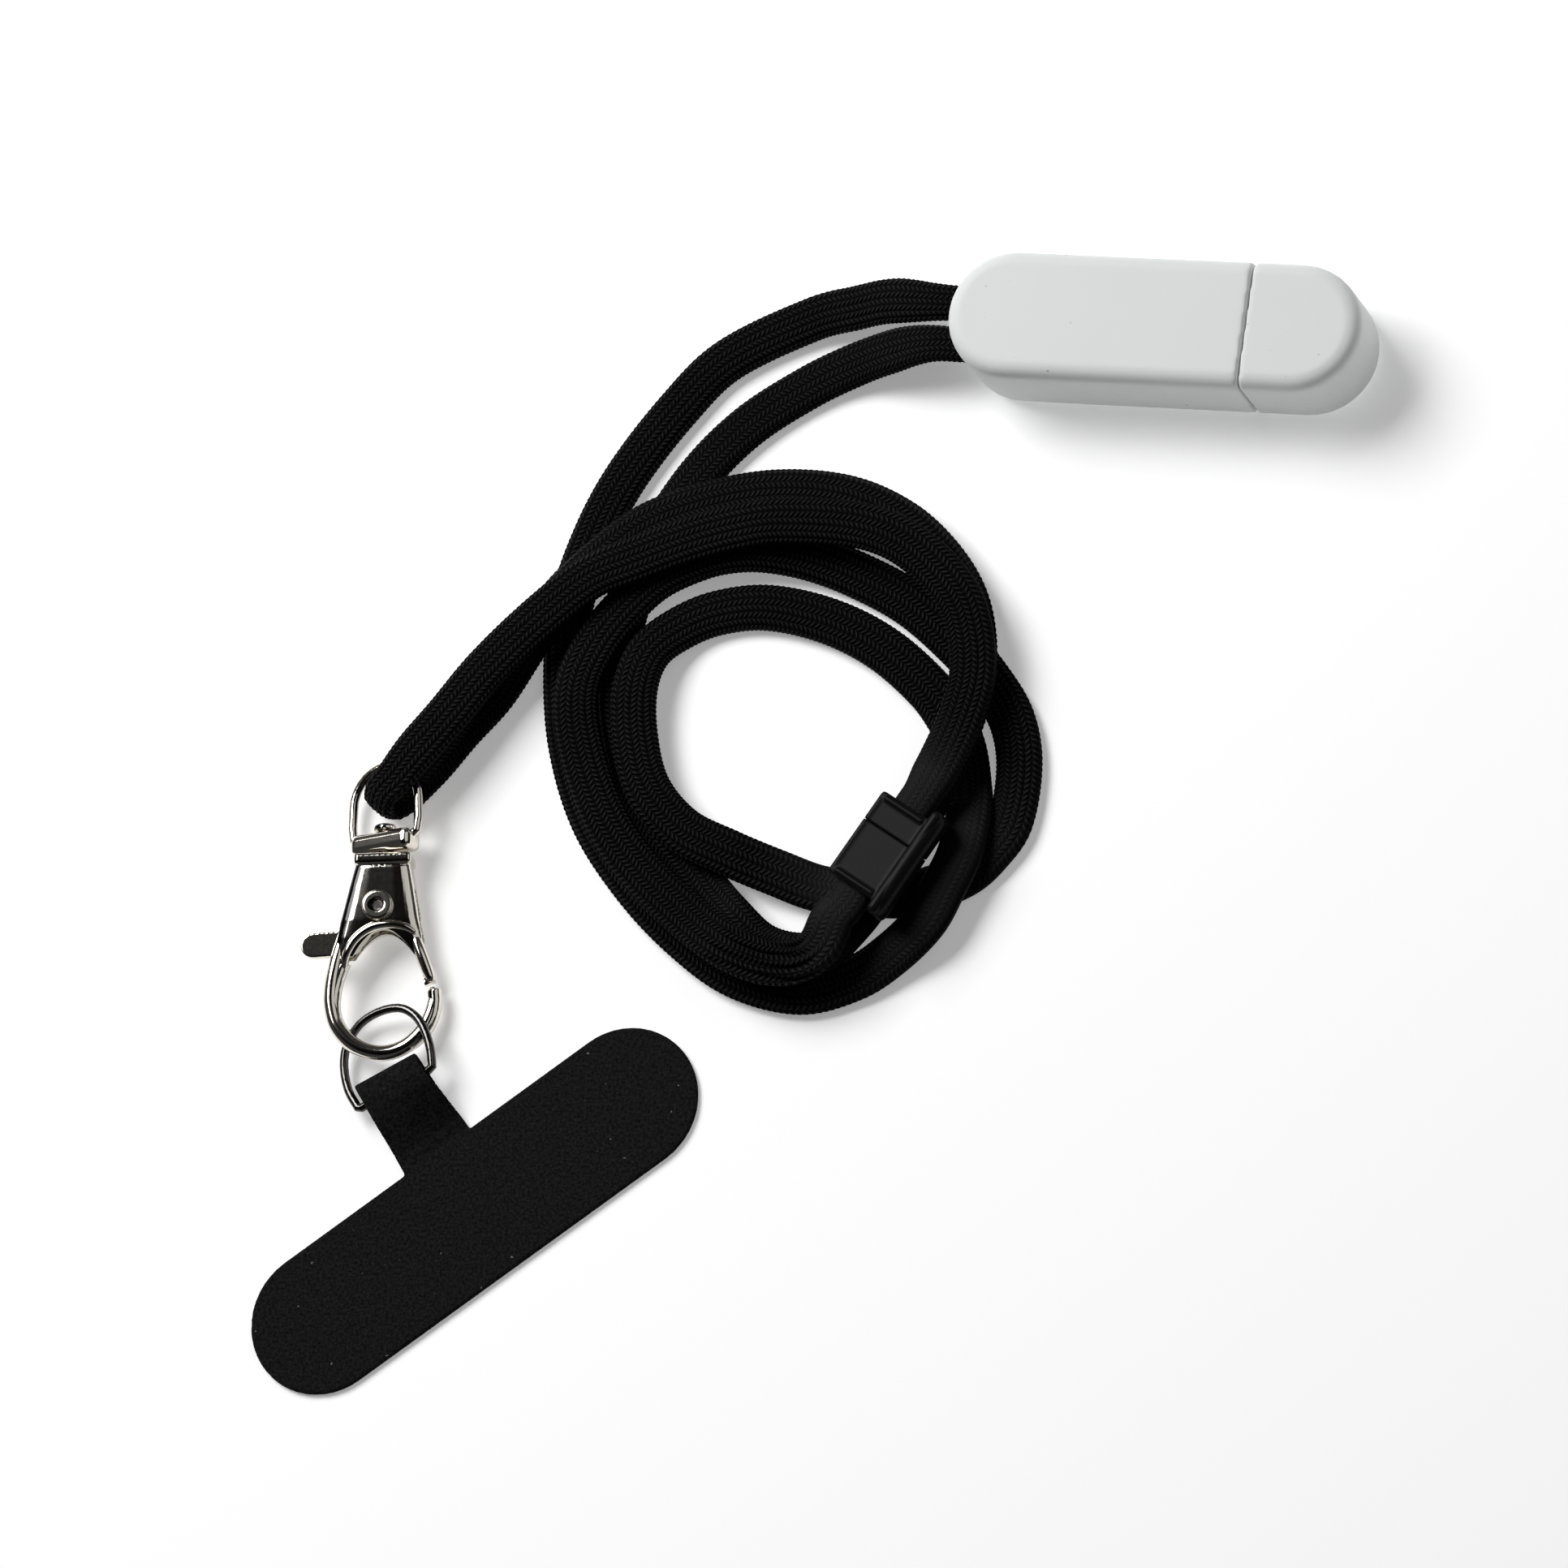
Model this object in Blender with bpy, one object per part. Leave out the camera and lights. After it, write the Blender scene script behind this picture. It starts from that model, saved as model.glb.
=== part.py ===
# Phone crossbody strap: a braided strap with a breakaway buckle, a swivel snap hook,
# a tether card on a D-ring, and a capsule housing with a pull-off cap.
# Metres, +Z up. The strap lies coiled on the floor. Origin: bottom centre of the hard pieces.

import math

import bmesh
import bpy
from mathutils import Matrix, Vector

# General clearances
GAP = 0.0003
FLOOR_LIFT = 0.0

# Strap: a flat tubular braid
STRAP_WIDTH = 0.0079
STRAP_THICKNESS = 0.0026
STRAP_PORT_WIDTH = 0.0061
STRAP_FOLD_WIDTH = 0.0064
STRAP_POCKET_WIDTH = 0.0070
STRAP_SIDES = 10
STRAP_NARROWING = 0.012
STRAP_POCKET_EASE = 0.005
STRAP_FOLD_EASE = 0.014
LONG_RINGS = 52
SHORT_RINGS = 52

# Capsule housing
HOUSING_LENGTH = 0.0705
HOUSING_WIDTH = 0.0218
HOUSING_HEIGHT = 0.0160
HOUSING_EDGE = 0.0022
HOUSING_WALL = 0.0015
HOUSING_PORT_END = (0.023556, 0.083507)
HOUSING_TURN = math.radians(-6.2)
CAP_LENGTH = 0.0195
SPIGOT_LENGTH = 0.0080
SPIGOT_WALL = 0.0012
SPIGOT_BORE_DEPTH = 0.0060
PORT_DEPTH = 0.0030
PORT_CLEARANCE = 0.0004
PORT_SPACING = 0.0071

# Breakaway buckle
BUCKLE_LENGTH = 0.0200
BUCKLE_WIDTH = 0.0126
BUCKLE_HEIGHT = 0.0060
BUCKLE_CORE_LENGTH = 0.0160
BUCKLE_CORE_DROP = 0.0005
BUCKLE_RAIL_WIDTH = 0.0022
BUCKLE_RAIL_EDGE = 0.0010
BUCKLE_RIB_WIDTH = 0.0010
BUCKLE_RIB_INSET = 0.0004
BUCKLE_RIB_RISE = 0.0004
BUCKLE_SPLIT = 0.0022
BUCKLE_TONGUE_LENGTH = 0.0060
BUCKLE_TONGUE_WIDTH = 0.0062
BUCKLE_TONGUE_HEIGHT = 0.0022
BUCKLE_AT = (0.0146, -0.0067)
BUCKLE_TURN = math.radians(55.8)
BUCKLE_BOTTOM = 0.0059
BUCKLE_POCKET_DEPTH = 0.0032
BUCKLE_POCKET_HEIGHT = 0.0036
BUCKLE_POCKET_MIDDLE = 0.0030
BUCKLE_MOUTH = BUCKLE_POCKET_DEPTH + (BUCKLE_LENGTH - BUCKLE_CORE_LENGTH) / 2

# Swivel snap hook; its own frame has -Y toward the hook and its origin at the top of the collar
HOOK_AT = (-0.0735, -0.0027)
HOOK_AXIS_HEIGHT = 0.0042
HOOK_TURN = math.radians(2.6)
HOOK_ROLL = math.radians(10)
EYE_ROLL = math.radians(-15)
EYE_WIRE = 0.0016
EYE_WIDTH = 0.0146
EYE_HEIGHT = 0.0164
BRIDGE_LENGTH = 0.0037
BRIDGE_WIDTH = 0.0118
BRIDGE_THICKNESS = 0.0046
POST_DIAMETER = 0.0022
POST_HEAD_DIAMETER = 0.0038
POST_HEAD_LENGTH = 0.0010
COLLAR_WIDTH = 0.0096
COLLAR_THICKNESS = 0.0056
COLLAR_LENGTH = 0.0015
COLLAR_EDGE = 0.0005
BODY_LENGTH = 0.0176
BODY_TOP_WIDTH = 0.0088
BODY_THICKNESS = 0.0050
LOOP_WIRE = 0.0024
LOOP_WIDTH = 0.0170
LOOP_LENGTH = 0.0338
NOSE_TOP = -0.0234
TRIGGER_THICKNESS = 0.0016
TRIGGER_PIVOT = (-0.0007, -0.0092)
GATE_WIDTH = 0.0018
GATE_END_OUTER = -0.0220
GATE_END_INNER = -0.0228
NOSE_SLANT = 0.0008
LEVER_ROOT = (-0.0058, -0.0149)
LEVER_TIP = (-0.0118, -0.0152)
LEVER_WIDTH = 0.0042
RIVET_PIN = 0.0030
RIVET_BORE = 0.0018
RIVET_HEAD = 0.0052
RIVET_HEAD_RISE = 0.0005

# D-ring
RING_WIRE = 0.0014
RING_LEFT_HEIGHT = 0.0024
RING_RIGHT_HEIGHT = 0.0049

# Tether card
CARD_THICKNESS = 0.0010
CARD_LENGTH = 0.0869
CARD_WIDTH = 0.0246
CARD_AT = (-0.0558, -0.0630)
CARD_TURN = math.radians(35.0)
CARD_EDGE = 0.0002
NECK_WIDTH_AT_FOLD = 0.0126
NECK_WIDTH_AT_WAIST = 0.0120
NECK_WIDTH_AT_CARD = 0.0132
NECK_THICKNESS = 0.00045
NECK_SEAM = 0.00003
NECK_ROOT = 0.0012
NECK_LOOSE = 0.0036
NECK_STATIONS = 7
NECK_STEPS = 5
NECK_JOINT_LEFT = (-0.0682, -0.0562)
NECK_JOINT_RIGHT = (-0.0576, -0.0488)

# The strap's routes, chosen by hand, in millimetres: x, y and height of the centre line
MM = 0.001
LONG_ROUTE = [
    (26.1, 86.8, 8), (18.6, 87.7, 7.9), (10.9, 88.9, 6.2), (4.6, 88.9, 4),
    (-3.9, 88.1, 1.8), (-18.45, 81.95, 1.4), (-26.8, 73.9, 1.4), (-35.4, 62.5, 1.4),
    (-40.6, 52.1, 1.4), (-43.9, 40.8, 1.4), (-44.4, 29.2, 1.4), (-42.8, 16, 1.4),
    (-38.2, 2.9, 1.4), (-30.5, -8.4, 1.4), (-21.6, -17.7, 1.4), (-11.9, -24.8, 1.4),
    (-0.8, -28, 1.4), (8.4, -26, 1.4), (14.9, -22.2, 2.2), (20.6, -17.6, 4.1),
    (23.7, -12, 4.5), (26.2, -6.5, 4.5), (27.1, 0.9, 3.1), (26.3, 6.2, 1.5),
    (25.2, 11.9, 1.4), (23, 16.8, 1.4), (18.75, 22.75, 1.4), (10.55, 30.1, 1.4),
    (1.1, 35.25, 1.4), (-9.5, 38.1, 1.4), (-18.2, 37.65, 1.4), (-24.5, 35.1, 2),
    (-29.05, 30.8, 3.6), (-31, 24.6, 4.35), (-30.7, 16.3, 4.35), (-28, 7, 4.35),
    (-21.8, -0.3, 4.35), (-13.5, -4.7, 4.4), (-5.4, -8.1, 2.9), (1.6, -10.7, 1.6),
    (8.6, -11.6, 1.4), (17, -12.2, 1.4), (25.9, -9.4, 1.4), (30.5, -5.5, 1.4),
    (33.7, -0.6, 1.4), (34.85, 8.85, 1.4), (33.3, 16.6, 1.4), (29.3, 23.3, 1.4),
    (23.95, 29.65, 1.4), (15.25, 37.45, 1.4), (5.7, 43, 1.4), (-2.2, 46.1, 2.2),
    (-9.4, 47.5, 3.4), (-14.9, 47.55, 4), (-20.6, 46.55, 4.1), (-28, 43.4, 4.3),
    (-33.6, 38.6, 4.2), (-38.2, 32.6, 4.35), (-41.2, 25.1, 4.35), (-40.5, 16.1, 4.35),
    (-35.9, 3.3, 4.35), (-29.4, -6.4, 4.4), (-20, -15.3, 5.4), (-13, -20.7, 7.1),
    (-6.4, -23.9, 7.5), (-1.5, -24.6, 7.4), (1.6, -23.9, 7.6), (4.4, -21.8, 8.2),
    (6.5, -17.8, 8.9), (8.4, -15.8, 8.8), (9.9, -13.6, 8.9),
    (11.5, -11.2, 8.9),
]
SHORT_ROUTE = [
    (17.6, -2.3, 8.9), (19.2, 0, 8.9), (21.2, 3.1, 8.9), (23.8, 8.8, 8.2),
    (26.4, 15.7, 7.6), (27.9, 22.5, 7.3), (27.6, 28.8, 7.3), (25.5, 35.6, 7.3),
    (20.6, 42, 7.3), (14.1, 47.1, 7.3), (6.3, 49.9, 7.3), (-6.4, 51.2, 7.3),
    (-14, 50.5, 7.3), (-22.3, 48.7, 7.3), (-31.1, 45.9, 7.3), (-38.95, 43, 7.4),
    (-47.75, 36.35, 7.4), (-56.4, 28, 7.5), (-62.7, 20, 7.9), (-68, 13.6, 8.3),
    (-71.3, 9.5, 8.1), (-73.6, 7.7, 7.2), (-74.5, 6.5, 5.9), (-74.8, 6.1, 4.4),
    (-74.3, 6.5, 2.9), (-71.9, 8.2, 1.8), (-68.2, 12.4, 1.4), (-62.65, 19.15, 1.4),
    (-56.5, 25.35, 2.2), (-50.47, 33.33, 4), (-44.55, 41.2, 4.5), (-38.35, 47.05, 4.5),
    (-30.4, 52.7, 4.4), (-20.4, 55.9, 4.35), (-8.1, 57.3, 4.35), (4.1, 55.6, 4.35),
    (13.7, 50.9, 4.35), (20.7, 44.3, 4.35), (25.4, 36.7, 4.35), (27.2, 28.3, 4.35),
    (26.6, 20, 4.35), (23.7, 10.6, 4.6), (18.9, -0.2, 4.6), (13.9, -8.4, 4.35),
    (10.2, -14.7, 4.3), (7.2, -18.4, 4.3), (4.4, -21.1, 4.3), (1, -22.7, 4.4),
    (-3.5, -22.3, 4.5), (-8, -20.2, 4.1), (-12.5, -15.9, 4.15), (-17.2, -10.8, 2),
    (-21.3, -4.8, 1.4), (-26.3, 1.3, 1.4), (-30.9, 8.8, 1.4), (-33.6, 16.9, 1.4),
    (-34.8, 25, 1.4), (-34.7, 37, 1.4), (-30.5, 49.3, 1.4), (-23.4, 61.1, 1.4),
    (-14.8, 69.85, 1.4), (-4.45, 76.2, 1.4), (4.2, 79.5, 2.4), (12.2, 80.5, 5.6),
    (18.7, 80.5, 7.8), (25.3, 79.8, 8),
]


def clear_scene():
    for thing in list(bpy.data.objects):
        bpy.data.objects.remove(thing)


def material(name, colour, roughness, metallic=0.0):
    made = bpy.data.materials.new(name)
    made.use_nodes = True
    shader = made.node_tree.nodes["Principled BSDF"]
    shader.inputs["Base Color"].default_value = (*colour, 1.0)
    shader.inputs["Roughness"].default_value = roughness
    shader.inputs["Metallic"].default_value = metallic
    return made


def make_object(name, mesh_data, made_material=None, smooth_angle=35):
    """Turns a bmesh into a named object, shaded smooth up to an angle."""
    bmesh.ops.recalc_face_normals(mesh_data, faces=mesh_data.faces)
    mesh = bpy.data.meshes.new(name)
    mesh_data.to_mesh(mesh)
    mesh_data.free()
    mesh.shade_smooth()
    mesh.set_sharp_from_angle(angle=math.radians(smooth_angle))
    made = bpy.data.objects.new(name, mesh)
    if made_material is not None:
        made.data.materials.append(made_material)
    bpy.context.scene.collection.objects.link(made)
    return made


def boolean(target, tool, operation):
    """Cuts, joins or intersects with a helper object that is kept out of the build."""
    tool.hide_render = True
    tool.display_type = "WIRE"
    step = target.modifiers.new(tool.name, "BOOLEAN")
    step.operation = operation
    step.solver = "EXACT"
    step.object = tool
    return step


def loft(name, rings, made_material=None, closed=False, smooth_angle=35):
    """Joins rings of points into one closed solid, with end caps unless it closes on itself."""
    made = bmesh.new()
    rows = [[made.verts.new(point) for point in ring] for ring in rings]
    count = len(rows[0])
    last = len(rows) if closed else len(rows) - 1
    for index in range(last):
        here = rows[index]
        there = rows[(index + 1) % len(rows)]
        for side in range(count):
            following = (side + 1) % count
            made.faces.new((here[side], here[following], there[following], there[side]))
    if not closed:
        made.faces.new(list(reversed(rows[0])))
        made.faces.new(rows[-1])
    return make_object(name, made, made_material, smooth_angle)


def box(name, low, high, made_material=None):
    made = bmesh.new()
    bmesh.ops.create_cube(made, size=1.0)
    middle = [(a + b) / 2 for a, b in zip(low, high)]
    span = [b - a for a, b in zip(low, high)]
    bmesh.ops.scale(made, vec=span, verts=made.verts)
    bmesh.ops.translate(made, vec=middle, verts=made.verts)
    return make_object(name, made, made_material)


def turned(name, profile, steps, made_material=None):
    """Turns (radius, height) points round the Z axis; a ring where no radius is zero."""
    made = bmesh.new()
    rows = []
    for radius, height in profile:
        if radius == 0:
            rows.append([made.verts.new((0, 0, height))])
            continue
        rows.append([
            made.verts.new((
                radius * math.cos(2 * math.pi * step / steps),
                radius * math.sin(2 * math.pi * step / steps),
                height,
            ))
            for step in range(steps)
        ])
    pairs = list(zip(rows, rows[1:]))
    if profile[0][0] > 0 and profile[-1][0] > 0:
        pairs.append((rows[-1], rows[0]))
    for low, high in pairs:
        for step in range(steps):
            following = (step + 1) % steps
            if len(low) == 1:
                made.faces.new((low[0], high[step], high[following]))
            elif len(high) == 1:
                made.faces.new((low[step], low[following], high[0]))
            else:
                made.faces.new((low[step], low[following], high[following], high[step]))
    return make_object(name, made, made_material)


def smooth_curve(points, per_span):
    """Points on a centripetal curve through the route's own points."""
    points = [Vector(point) for point in points]
    times = [0.0]
    for before, after in zip(points, points[1:]):
        times.append(times[-1] + math.sqrt((after - before).length))
    slopes = []
    for index in range(len(points)):
        low = max(index - 1, 0)
        high = min(index + 1, len(points) - 1)
        slopes.append((points[high] - points[low]) / (times[high] - times[low]))
    made = []
    for index in range(len(points) - 1):
        span = times[index + 1] - times[index]
        for step in range(per_span):
            u = step / per_span
            made.append(
                (2 * u**3 - 3 * u**2 + 1) * points[index]
                + (u**3 - 2 * u**2 + u) * span * slopes[index]
                + (3 * u**2 - 2 * u**3) * points[index + 1]
                + (u**3 - u**2) * span * slopes[index + 1]
            )
    made.append(points[-1])
    return made


def thinned(points, count):
    """Keeps a number of the curve's points, closer together where it bends more."""
    weights = [0.0]
    for index in range(1, len(points)):
        step = points[index] - points[index - 1]
        bend = 0.0
        if 1 < index < len(points) - 1:
            bend = step.angle(points[index + 1] - points[index], 0.0)
        weights.append(weights[-1] + step.length / 0.02 + bend / math.radians(26))
    kept = []
    for number in range(count):
        aim = weights[-1] * number / (count - 1)
        nearest = min(range(len(points)), key=lambda index: abs(weights[index] - aim))
        if not kept or nearest != kept[-1]:
            kept.append(nearest)
    return [points[index] for index in kept]


def side_vectors(line):
    """A level width direction for each point, carried over where the strap turns downward."""
    up = Vector((0, 0, 1))
    sides = []
    for index in range(len(line)):
        low = max(index - 1, 0)
        high = min(index + 1, len(line) - 1)
        along = (line[high] - line[low]).normalized()
        level = along.cross(up)
        if not sides:
            side = level.normalized()
        elif level.length > 0.6:
            side = level.normalized()
            if side.dot(sides[-1]) < 0:
                side.negate()
        else:
            side = (sides[-1] - along * sides[-1].dot(along)).normalized()
        sides.append(side)
    return sides


def oval(width, thickness, sides):
    """A flat oval section whose broad faces are nearly level."""
    made = []
    for number in range(sides):
        angle = 2 * math.pi * (number + 0.5) / sides
        x = math.copysign(abs(math.cos(angle)) ** 0.75, math.cos(angle))
        z = math.copysign(abs(math.sin(angle)) ** 0.75, math.sin(angle))
        made.append((x, z))
    wide = max(point[0] for point in made)
    tall = max(point[1] for point in made)
    return [(x / wide * width / 2, z / tall * thickness / 2) for x, z in made]


# Strap

def strap(name, route, count, widths, cloth):
    """Sweeps the oval section along a route; widths gives the width at a length along it."""
    line = thinned(smooth_curve([Vector(point) * MM for point in route], 12), count)
    sides = side_vectors(line)
    lengths = [0.0]
    for before, after in zip(line, line[1:]):
        lengths.append(lengths[-1] + (after - before).length)
    rings = []
    for index, point in enumerate(line):
        low = max(index - 1, 0)
        high = min(index + 1, len(line) - 1)
        along = (line[high] - line[low]).normalized()
        up = sides[index].cross(along).normalized()
        width = widths(lengths[index], lengths[-1], point)
        section = oval(width, STRAP_THICKNESS, STRAP_SIDES)
        rings.append([point + sides[index] * x + up * z for x, z in section])
    return loft(name, rings, cloth)


def eased(distance, length):
    share = min(max(distance / length, 0.0), 1.0)
    return share * share * (3 - 2 * share)


def grown(narrow, share):
    return narrow + (STRAP_WIDTH - narrow) * share


def long_width(at, total, point):
    """Narrow in its port and in the buckle's pocket, full width elsewhere."""
    port_share = eased(at - PORT_DEPTH, STRAP_NARROWING)
    pocket_share = eased(total - at - BUCKLE_MOUTH, STRAP_POCKET_EASE)
    return min(grown(STRAP_PORT_WIDTH, port_share), grown(STRAP_POCKET_WIDTH, pocket_share))


def short_width(at, total, point):
    """Narrow in its port, in the buckle's pocket and where it folds through the eye."""
    port_share = eased(total - at - PORT_DEPTH, STRAP_NARROWING)
    pocket_share = eased(at - BUCKLE_MOUTH, STRAP_POCKET_EASE)
    fold = Vector(min(SHORT_ROUTE)) * MM
    fold_share = eased((point - fold).length, STRAP_FOLD_EASE)
    return min(
        grown(STRAP_PORT_WIDTH, port_share), grown(STRAP_POCKET_WIDTH, pocket_share),
        grown(STRAP_FOLD_WIDTH, fold_share))


# Housing

def stadium(length, width, steps):
    """Outline of a round-ended bar about the origin, anticlockwise."""
    radius = width / 2
    reach = length / 2 - radius
    made = []
    for number in range(steps + 1):
        angle = -math.pi / 2 + math.pi * number / steps
        made.append((reach + radius * math.cos(angle), radius * math.sin(angle)))
    for number in range(steps + 1):
        angle = math.pi / 2 + math.pi * number / steps
        made.append((-reach + radius * math.cos(angle), radius * math.sin(angle)))
    return made


def capsule(name, length, width, bottom, top, edge, steps, made_material=None, edge_steps=4):
    """A round-ended bar with rounded top and bottom edges."""
    rings = []
    heights = []
    for number in range(edge_steps + 1):
        angle = math.pi / 2 * number / edge_steps
        heights.append((edge * (1 - math.sin(angle)), edge * (1 - math.cos(angle))))
    for inset, rise in heights:
        outline = stadium(length - 2 * inset, width - 2 * inset, steps)
        rings.append([Vector((x, y, bottom + rise)) for x, y in outline])
    for inset, rise in reversed(heights):
        outline = stadium(length - 2 * inset, width - 2 * inset, steps)
        rings.append([Vector((x, y, top - rise)) for x, y in outline])
    return loft(name, rings, made_material)


def place(thing, at, height=0.0, turn=0.0):
    thing.matrix_world = Matrix.Translation((at[0], at[1], height)) @ Matrix.Rotation(turn, 4, "Z")


def housing(white):
    seam = HOUSING_LENGTH / 2 - CAP_LENGTH
    reach = HOUSING_LENGTH
    placed = []
    body = capsule(
        "housing_body", HOUSING_LENGTH, HOUSING_WIDTH, FLOOR_LIFT, HOUSING_HEIGHT, HOUSING_EDGE, 16, white)
    end_cut = box("body_end_cut", (seam, -reach, -reach), (reach, reach, reach))
    boolean(body, end_cut, "DIFFERENCE")
    inset = HOUSING_WALL + GAP
    spigot = capsule(
        "spigot_form", HOUSING_LENGTH - 2 * inset, HOUSING_WIDTH - 2 * inset,
        inset, HOUSING_HEIGHT - inset, HOUSING_EDGE - 0.0008, 12)
    spigot_trim = box(
        "spigot_trim", (seam - 0.0010, -reach, -reach), (seam + SPIGOT_LENGTH, reach, reach))
    boolean(spigot, spigot_trim, "INTERSECT")
    boolean(body, spigot, "UNION")
    deep = inset + SPIGOT_WALL
    bore = capsule(
        "spigot_bore", HOUSING_LENGTH - 2 * deep, HOUSING_WIDTH - 2 * deep,
        deep, HOUSING_HEIGHT - deep, 0.0008, 12)
    bore_trim = box(
        "bore_trim", (seam + SPIGOT_LENGTH - SPIGOT_BORE_DEPTH, -reach, -reach), (reach, reach, reach))
    boolean(bore, bore_trim, "INTERSECT")
    boolean(body, bore, "DIFFERENCE")
    ports = []
    for side in (-1, 1):
        port_width = STRAP_PORT_WIDTH + 2 * PORT_CLEARANCE
        port_height = STRAP_THICKNESS + 2 * PORT_CLEARANCE
        middle = side * PORT_SPACING / 2
        low = (-reach, middle - port_width / 2, (HOUSING_HEIGHT - port_height) / 2)
        deepest = -HOUSING_LENGTH / 2 + PORT_DEPTH
        high = (deepest, middle + port_width / 2, (HOUSING_HEIGHT + port_height) / 2)
        port = box("port_cut_left" if side < 0 else "port_cut_right", low, high)
        boolean(body, port, "DIFFERENCE")
        ports.append(port)
    cap = capsule(
        "housing_cap", HOUSING_LENGTH, HOUSING_WIDTH, FLOOR_LIFT, HOUSING_HEIGHT, HOUSING_EDGE, 16, white)
    cap_keep = box("cap_keep", (seam + GAP, -reach, -reach), (reach, reach, reach))
    boolean(cap, cap_keep, "INTERSECT")
    hollow = capsule(
        "cap_hollow", HOUSING_LENGTH - 2 * HOUSING_WALL, HOUSING_WIDTH - 2 * HOUSING_WALL,
        HOUSING_WALL, HOUSING_HEIGHT - HOUSING_WALL, HOUSING_EDGE - 0.0008, 12)
    boolean(cap, hollow, "DIFFERENCE")
    placed += [body, end_cut, spigot, spigot_trim, bore, bore_trim, cap, cap_keep, hollow] + ports
    along = Vector((math.cos(HOUSING_TURN), math.sin(HOUSING_TURN)))
    middle_at = Vector(HOUSING_PORT_END) + along * HOUSING_LENGTH / 2
    for thing in placed:
        place(thing, middle_at, 0.0, HOUSING_TURN)


# Buckle

def rounded_block(name, low, high, edge, made_material=None, segments=3):
    """A box with all its edges rounded."""
    made = box(name, low, high, made_material)
    step = made.modifiers.new("edges", "BEVEL")
    step.width = edge
    step.segments = segments
    step.limit_method = "ANGLE"
    return made


def buckle(black):
    """Two halves of one form: a core plate, a low left rail and a longer, raised right rail."""
    half = BUCKLE_LENGTH / 2
    side = BUCKLE_WIDTH / 2
    core_half = BUCKLE_CORE_LENGTH / 2
    core_side = side - BUCKLE_RAIL_WIDTH
    core_top = BUCKLE_HEIGHT - BUCKLE_CORE_DROP
    overlap = BUCKLE_RAIL_WIDTH / 2
    rib_half = BUCKLE_RIB_WIDTH / 2
    far = BUCKLE_LENGTH
    pocket_side = core_side
    tongue_half = BUCKLE_TONGUE_WIDTH / 2
    tongue_low = BUCKLE_POCKET_MIDDLE - BUCKLE_TONGUE_HEIGHT / 2
    tongue_high = BUCKLE_POCKET_MIDDLE + BUCKLE_TONGUE_HEIGHT / 2
    placed = []
    halves = []
    for name, low, high in (
        ("buckle_socket", -far, BUCKLE_SPLIT),
        ("buckle_plug", BUCKLE_SPLIT + GAP, far),
    ):
        block = box(
            name, (-core_half, -core_side - overlap, 0), (core_half, core_side + GAP, core_top), black)
        for rail_name, near, off, rail_half, top in (
            ("_rail_right", -side, -core_side, half, BUCKLE_HEIGHT),
            ("_rail_left", core_side, core_side + overlap, core_half, core_top + GAP / 2),
        ):
            rail = rounded_block(
                name + rail_name, (-rail_half, near, 0), (rail_half, off, top), BUCKLE_RAIL_EDGE)
            boolean(block, rail, "UNION")
            placed.append(rail)
        for way in (-1, 1):
            centre = way * (core_half - BUCKLE_RIB_INSET - rib_half)
            rib = rounded_block(
                name + ("_rib_low" if way < 0 else "_rib_high"),
                (centre - rib_half, -core_side, core_top - BUCKLE_RIB_WIDTH),
                (centre + rib_half, core_side, core_top + BUCKLE_RIB_RISE), BUCKLE_RIB_RISE, segments=2)
            boolean(block, rib, "UNION")
            placed.append(rib)
        keep = box(name + "_keep", (low, -far, -far), (high, far, far))
        boolean(block, keep, "INTERSECT")
        placed += [block, keep]
        halves.append(block)
    socket, plug = halves
    reach = BUCKLE_SPLIT - BUCKLE_TONGUE_LENGTH
    root = BUCKLE_SPLIT + 0.0010
    tongue = box(
        "tongue_form", (reach, -tongue_half, tongue_low), (root, tongue_half, tongue_high))
    boolean(plug, tongue, "UNION")
    slot = box(
        "tongue_slot", (reach - GAP, -tongue_half - GAP, tongue_low - GAP),
        (root, tongue_half + GAP, tongue_high + GAP))
    boolean(socket, slot, "DIFFERENCE")
    placed += [tongue, slot]
    pocket_low = BUCKLE_POCKET_MIDDLE - BUCKLE_POCKET_HEIGHT / 2
    pocket_high = BUCKLE_POCKET_MIDDLE + BUCKLE_POCKET_HEIGHT / 2
    for owner, low, high in (
        (socket, -far, -core_half + BUCKLE_POCKET_DEPTH),
        (plug, core_half - BUCKLE_POCKET_DEPTH, far),
    ):
        pocket = box(
            owner.name + "_pocket", (low, -pocket_side, pocket_low), (high, pocket_side, pocket_high))
        boolean(owner, pocket, "DIFFERENCE")
        placed.append(pocket)
    for thing in placed:
        place(thing, BUCKLE_AT, BUCKLE_BOTTOM, BUCKLE_TURN)


# Swivel snap hook

def hook_matrix(roll):
    """The hook's own frame: origin on the swivel's axis, turned about it by a roll."""
    stand = Matrix.Translation((HOOK_AT[0], HOOK_AT[1], HOOK_AXIS_HEIGHT))
    return stand @ Matrix.Rotation(HOOK_TURN, 4, "Z") @ Matrix.Rotation(roll, 4, "Y")


def wire(name, line, radius, sides, made_material=None, closed=False):
    """A round wire along a line."""
    rings = []
    count = len(line)
    up = Vector((0, 0, 1))
    for index, point in enumerate(line):
        if closed:
            before = line[index - 1]
            after = line[(index + 1) % count]
        else:
            before = line[max(index - 1, 0)]
            after = line[min(index + 1, count - 1)]
        along = (after - before).normalized()
        side = along.cross(up).normalized()
        high = side.cross(along)
        ring = []
        for number in range(sides):
            angle = 2 * math.pi * number / sides
            ring.append(point + side * radius * math.cos(angle) + high * radius * math.sin(angle))
        rings.append(ring)
    return loft(name, rings, made_material, closed)


def along_y(thing):
    """Turns a solid made about +Z so that it lies about +Y."""
    for vertex in thing.data.vertices:
        x, y, z = vertex.co
        vertex.co = (x, z, -y)


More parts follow.
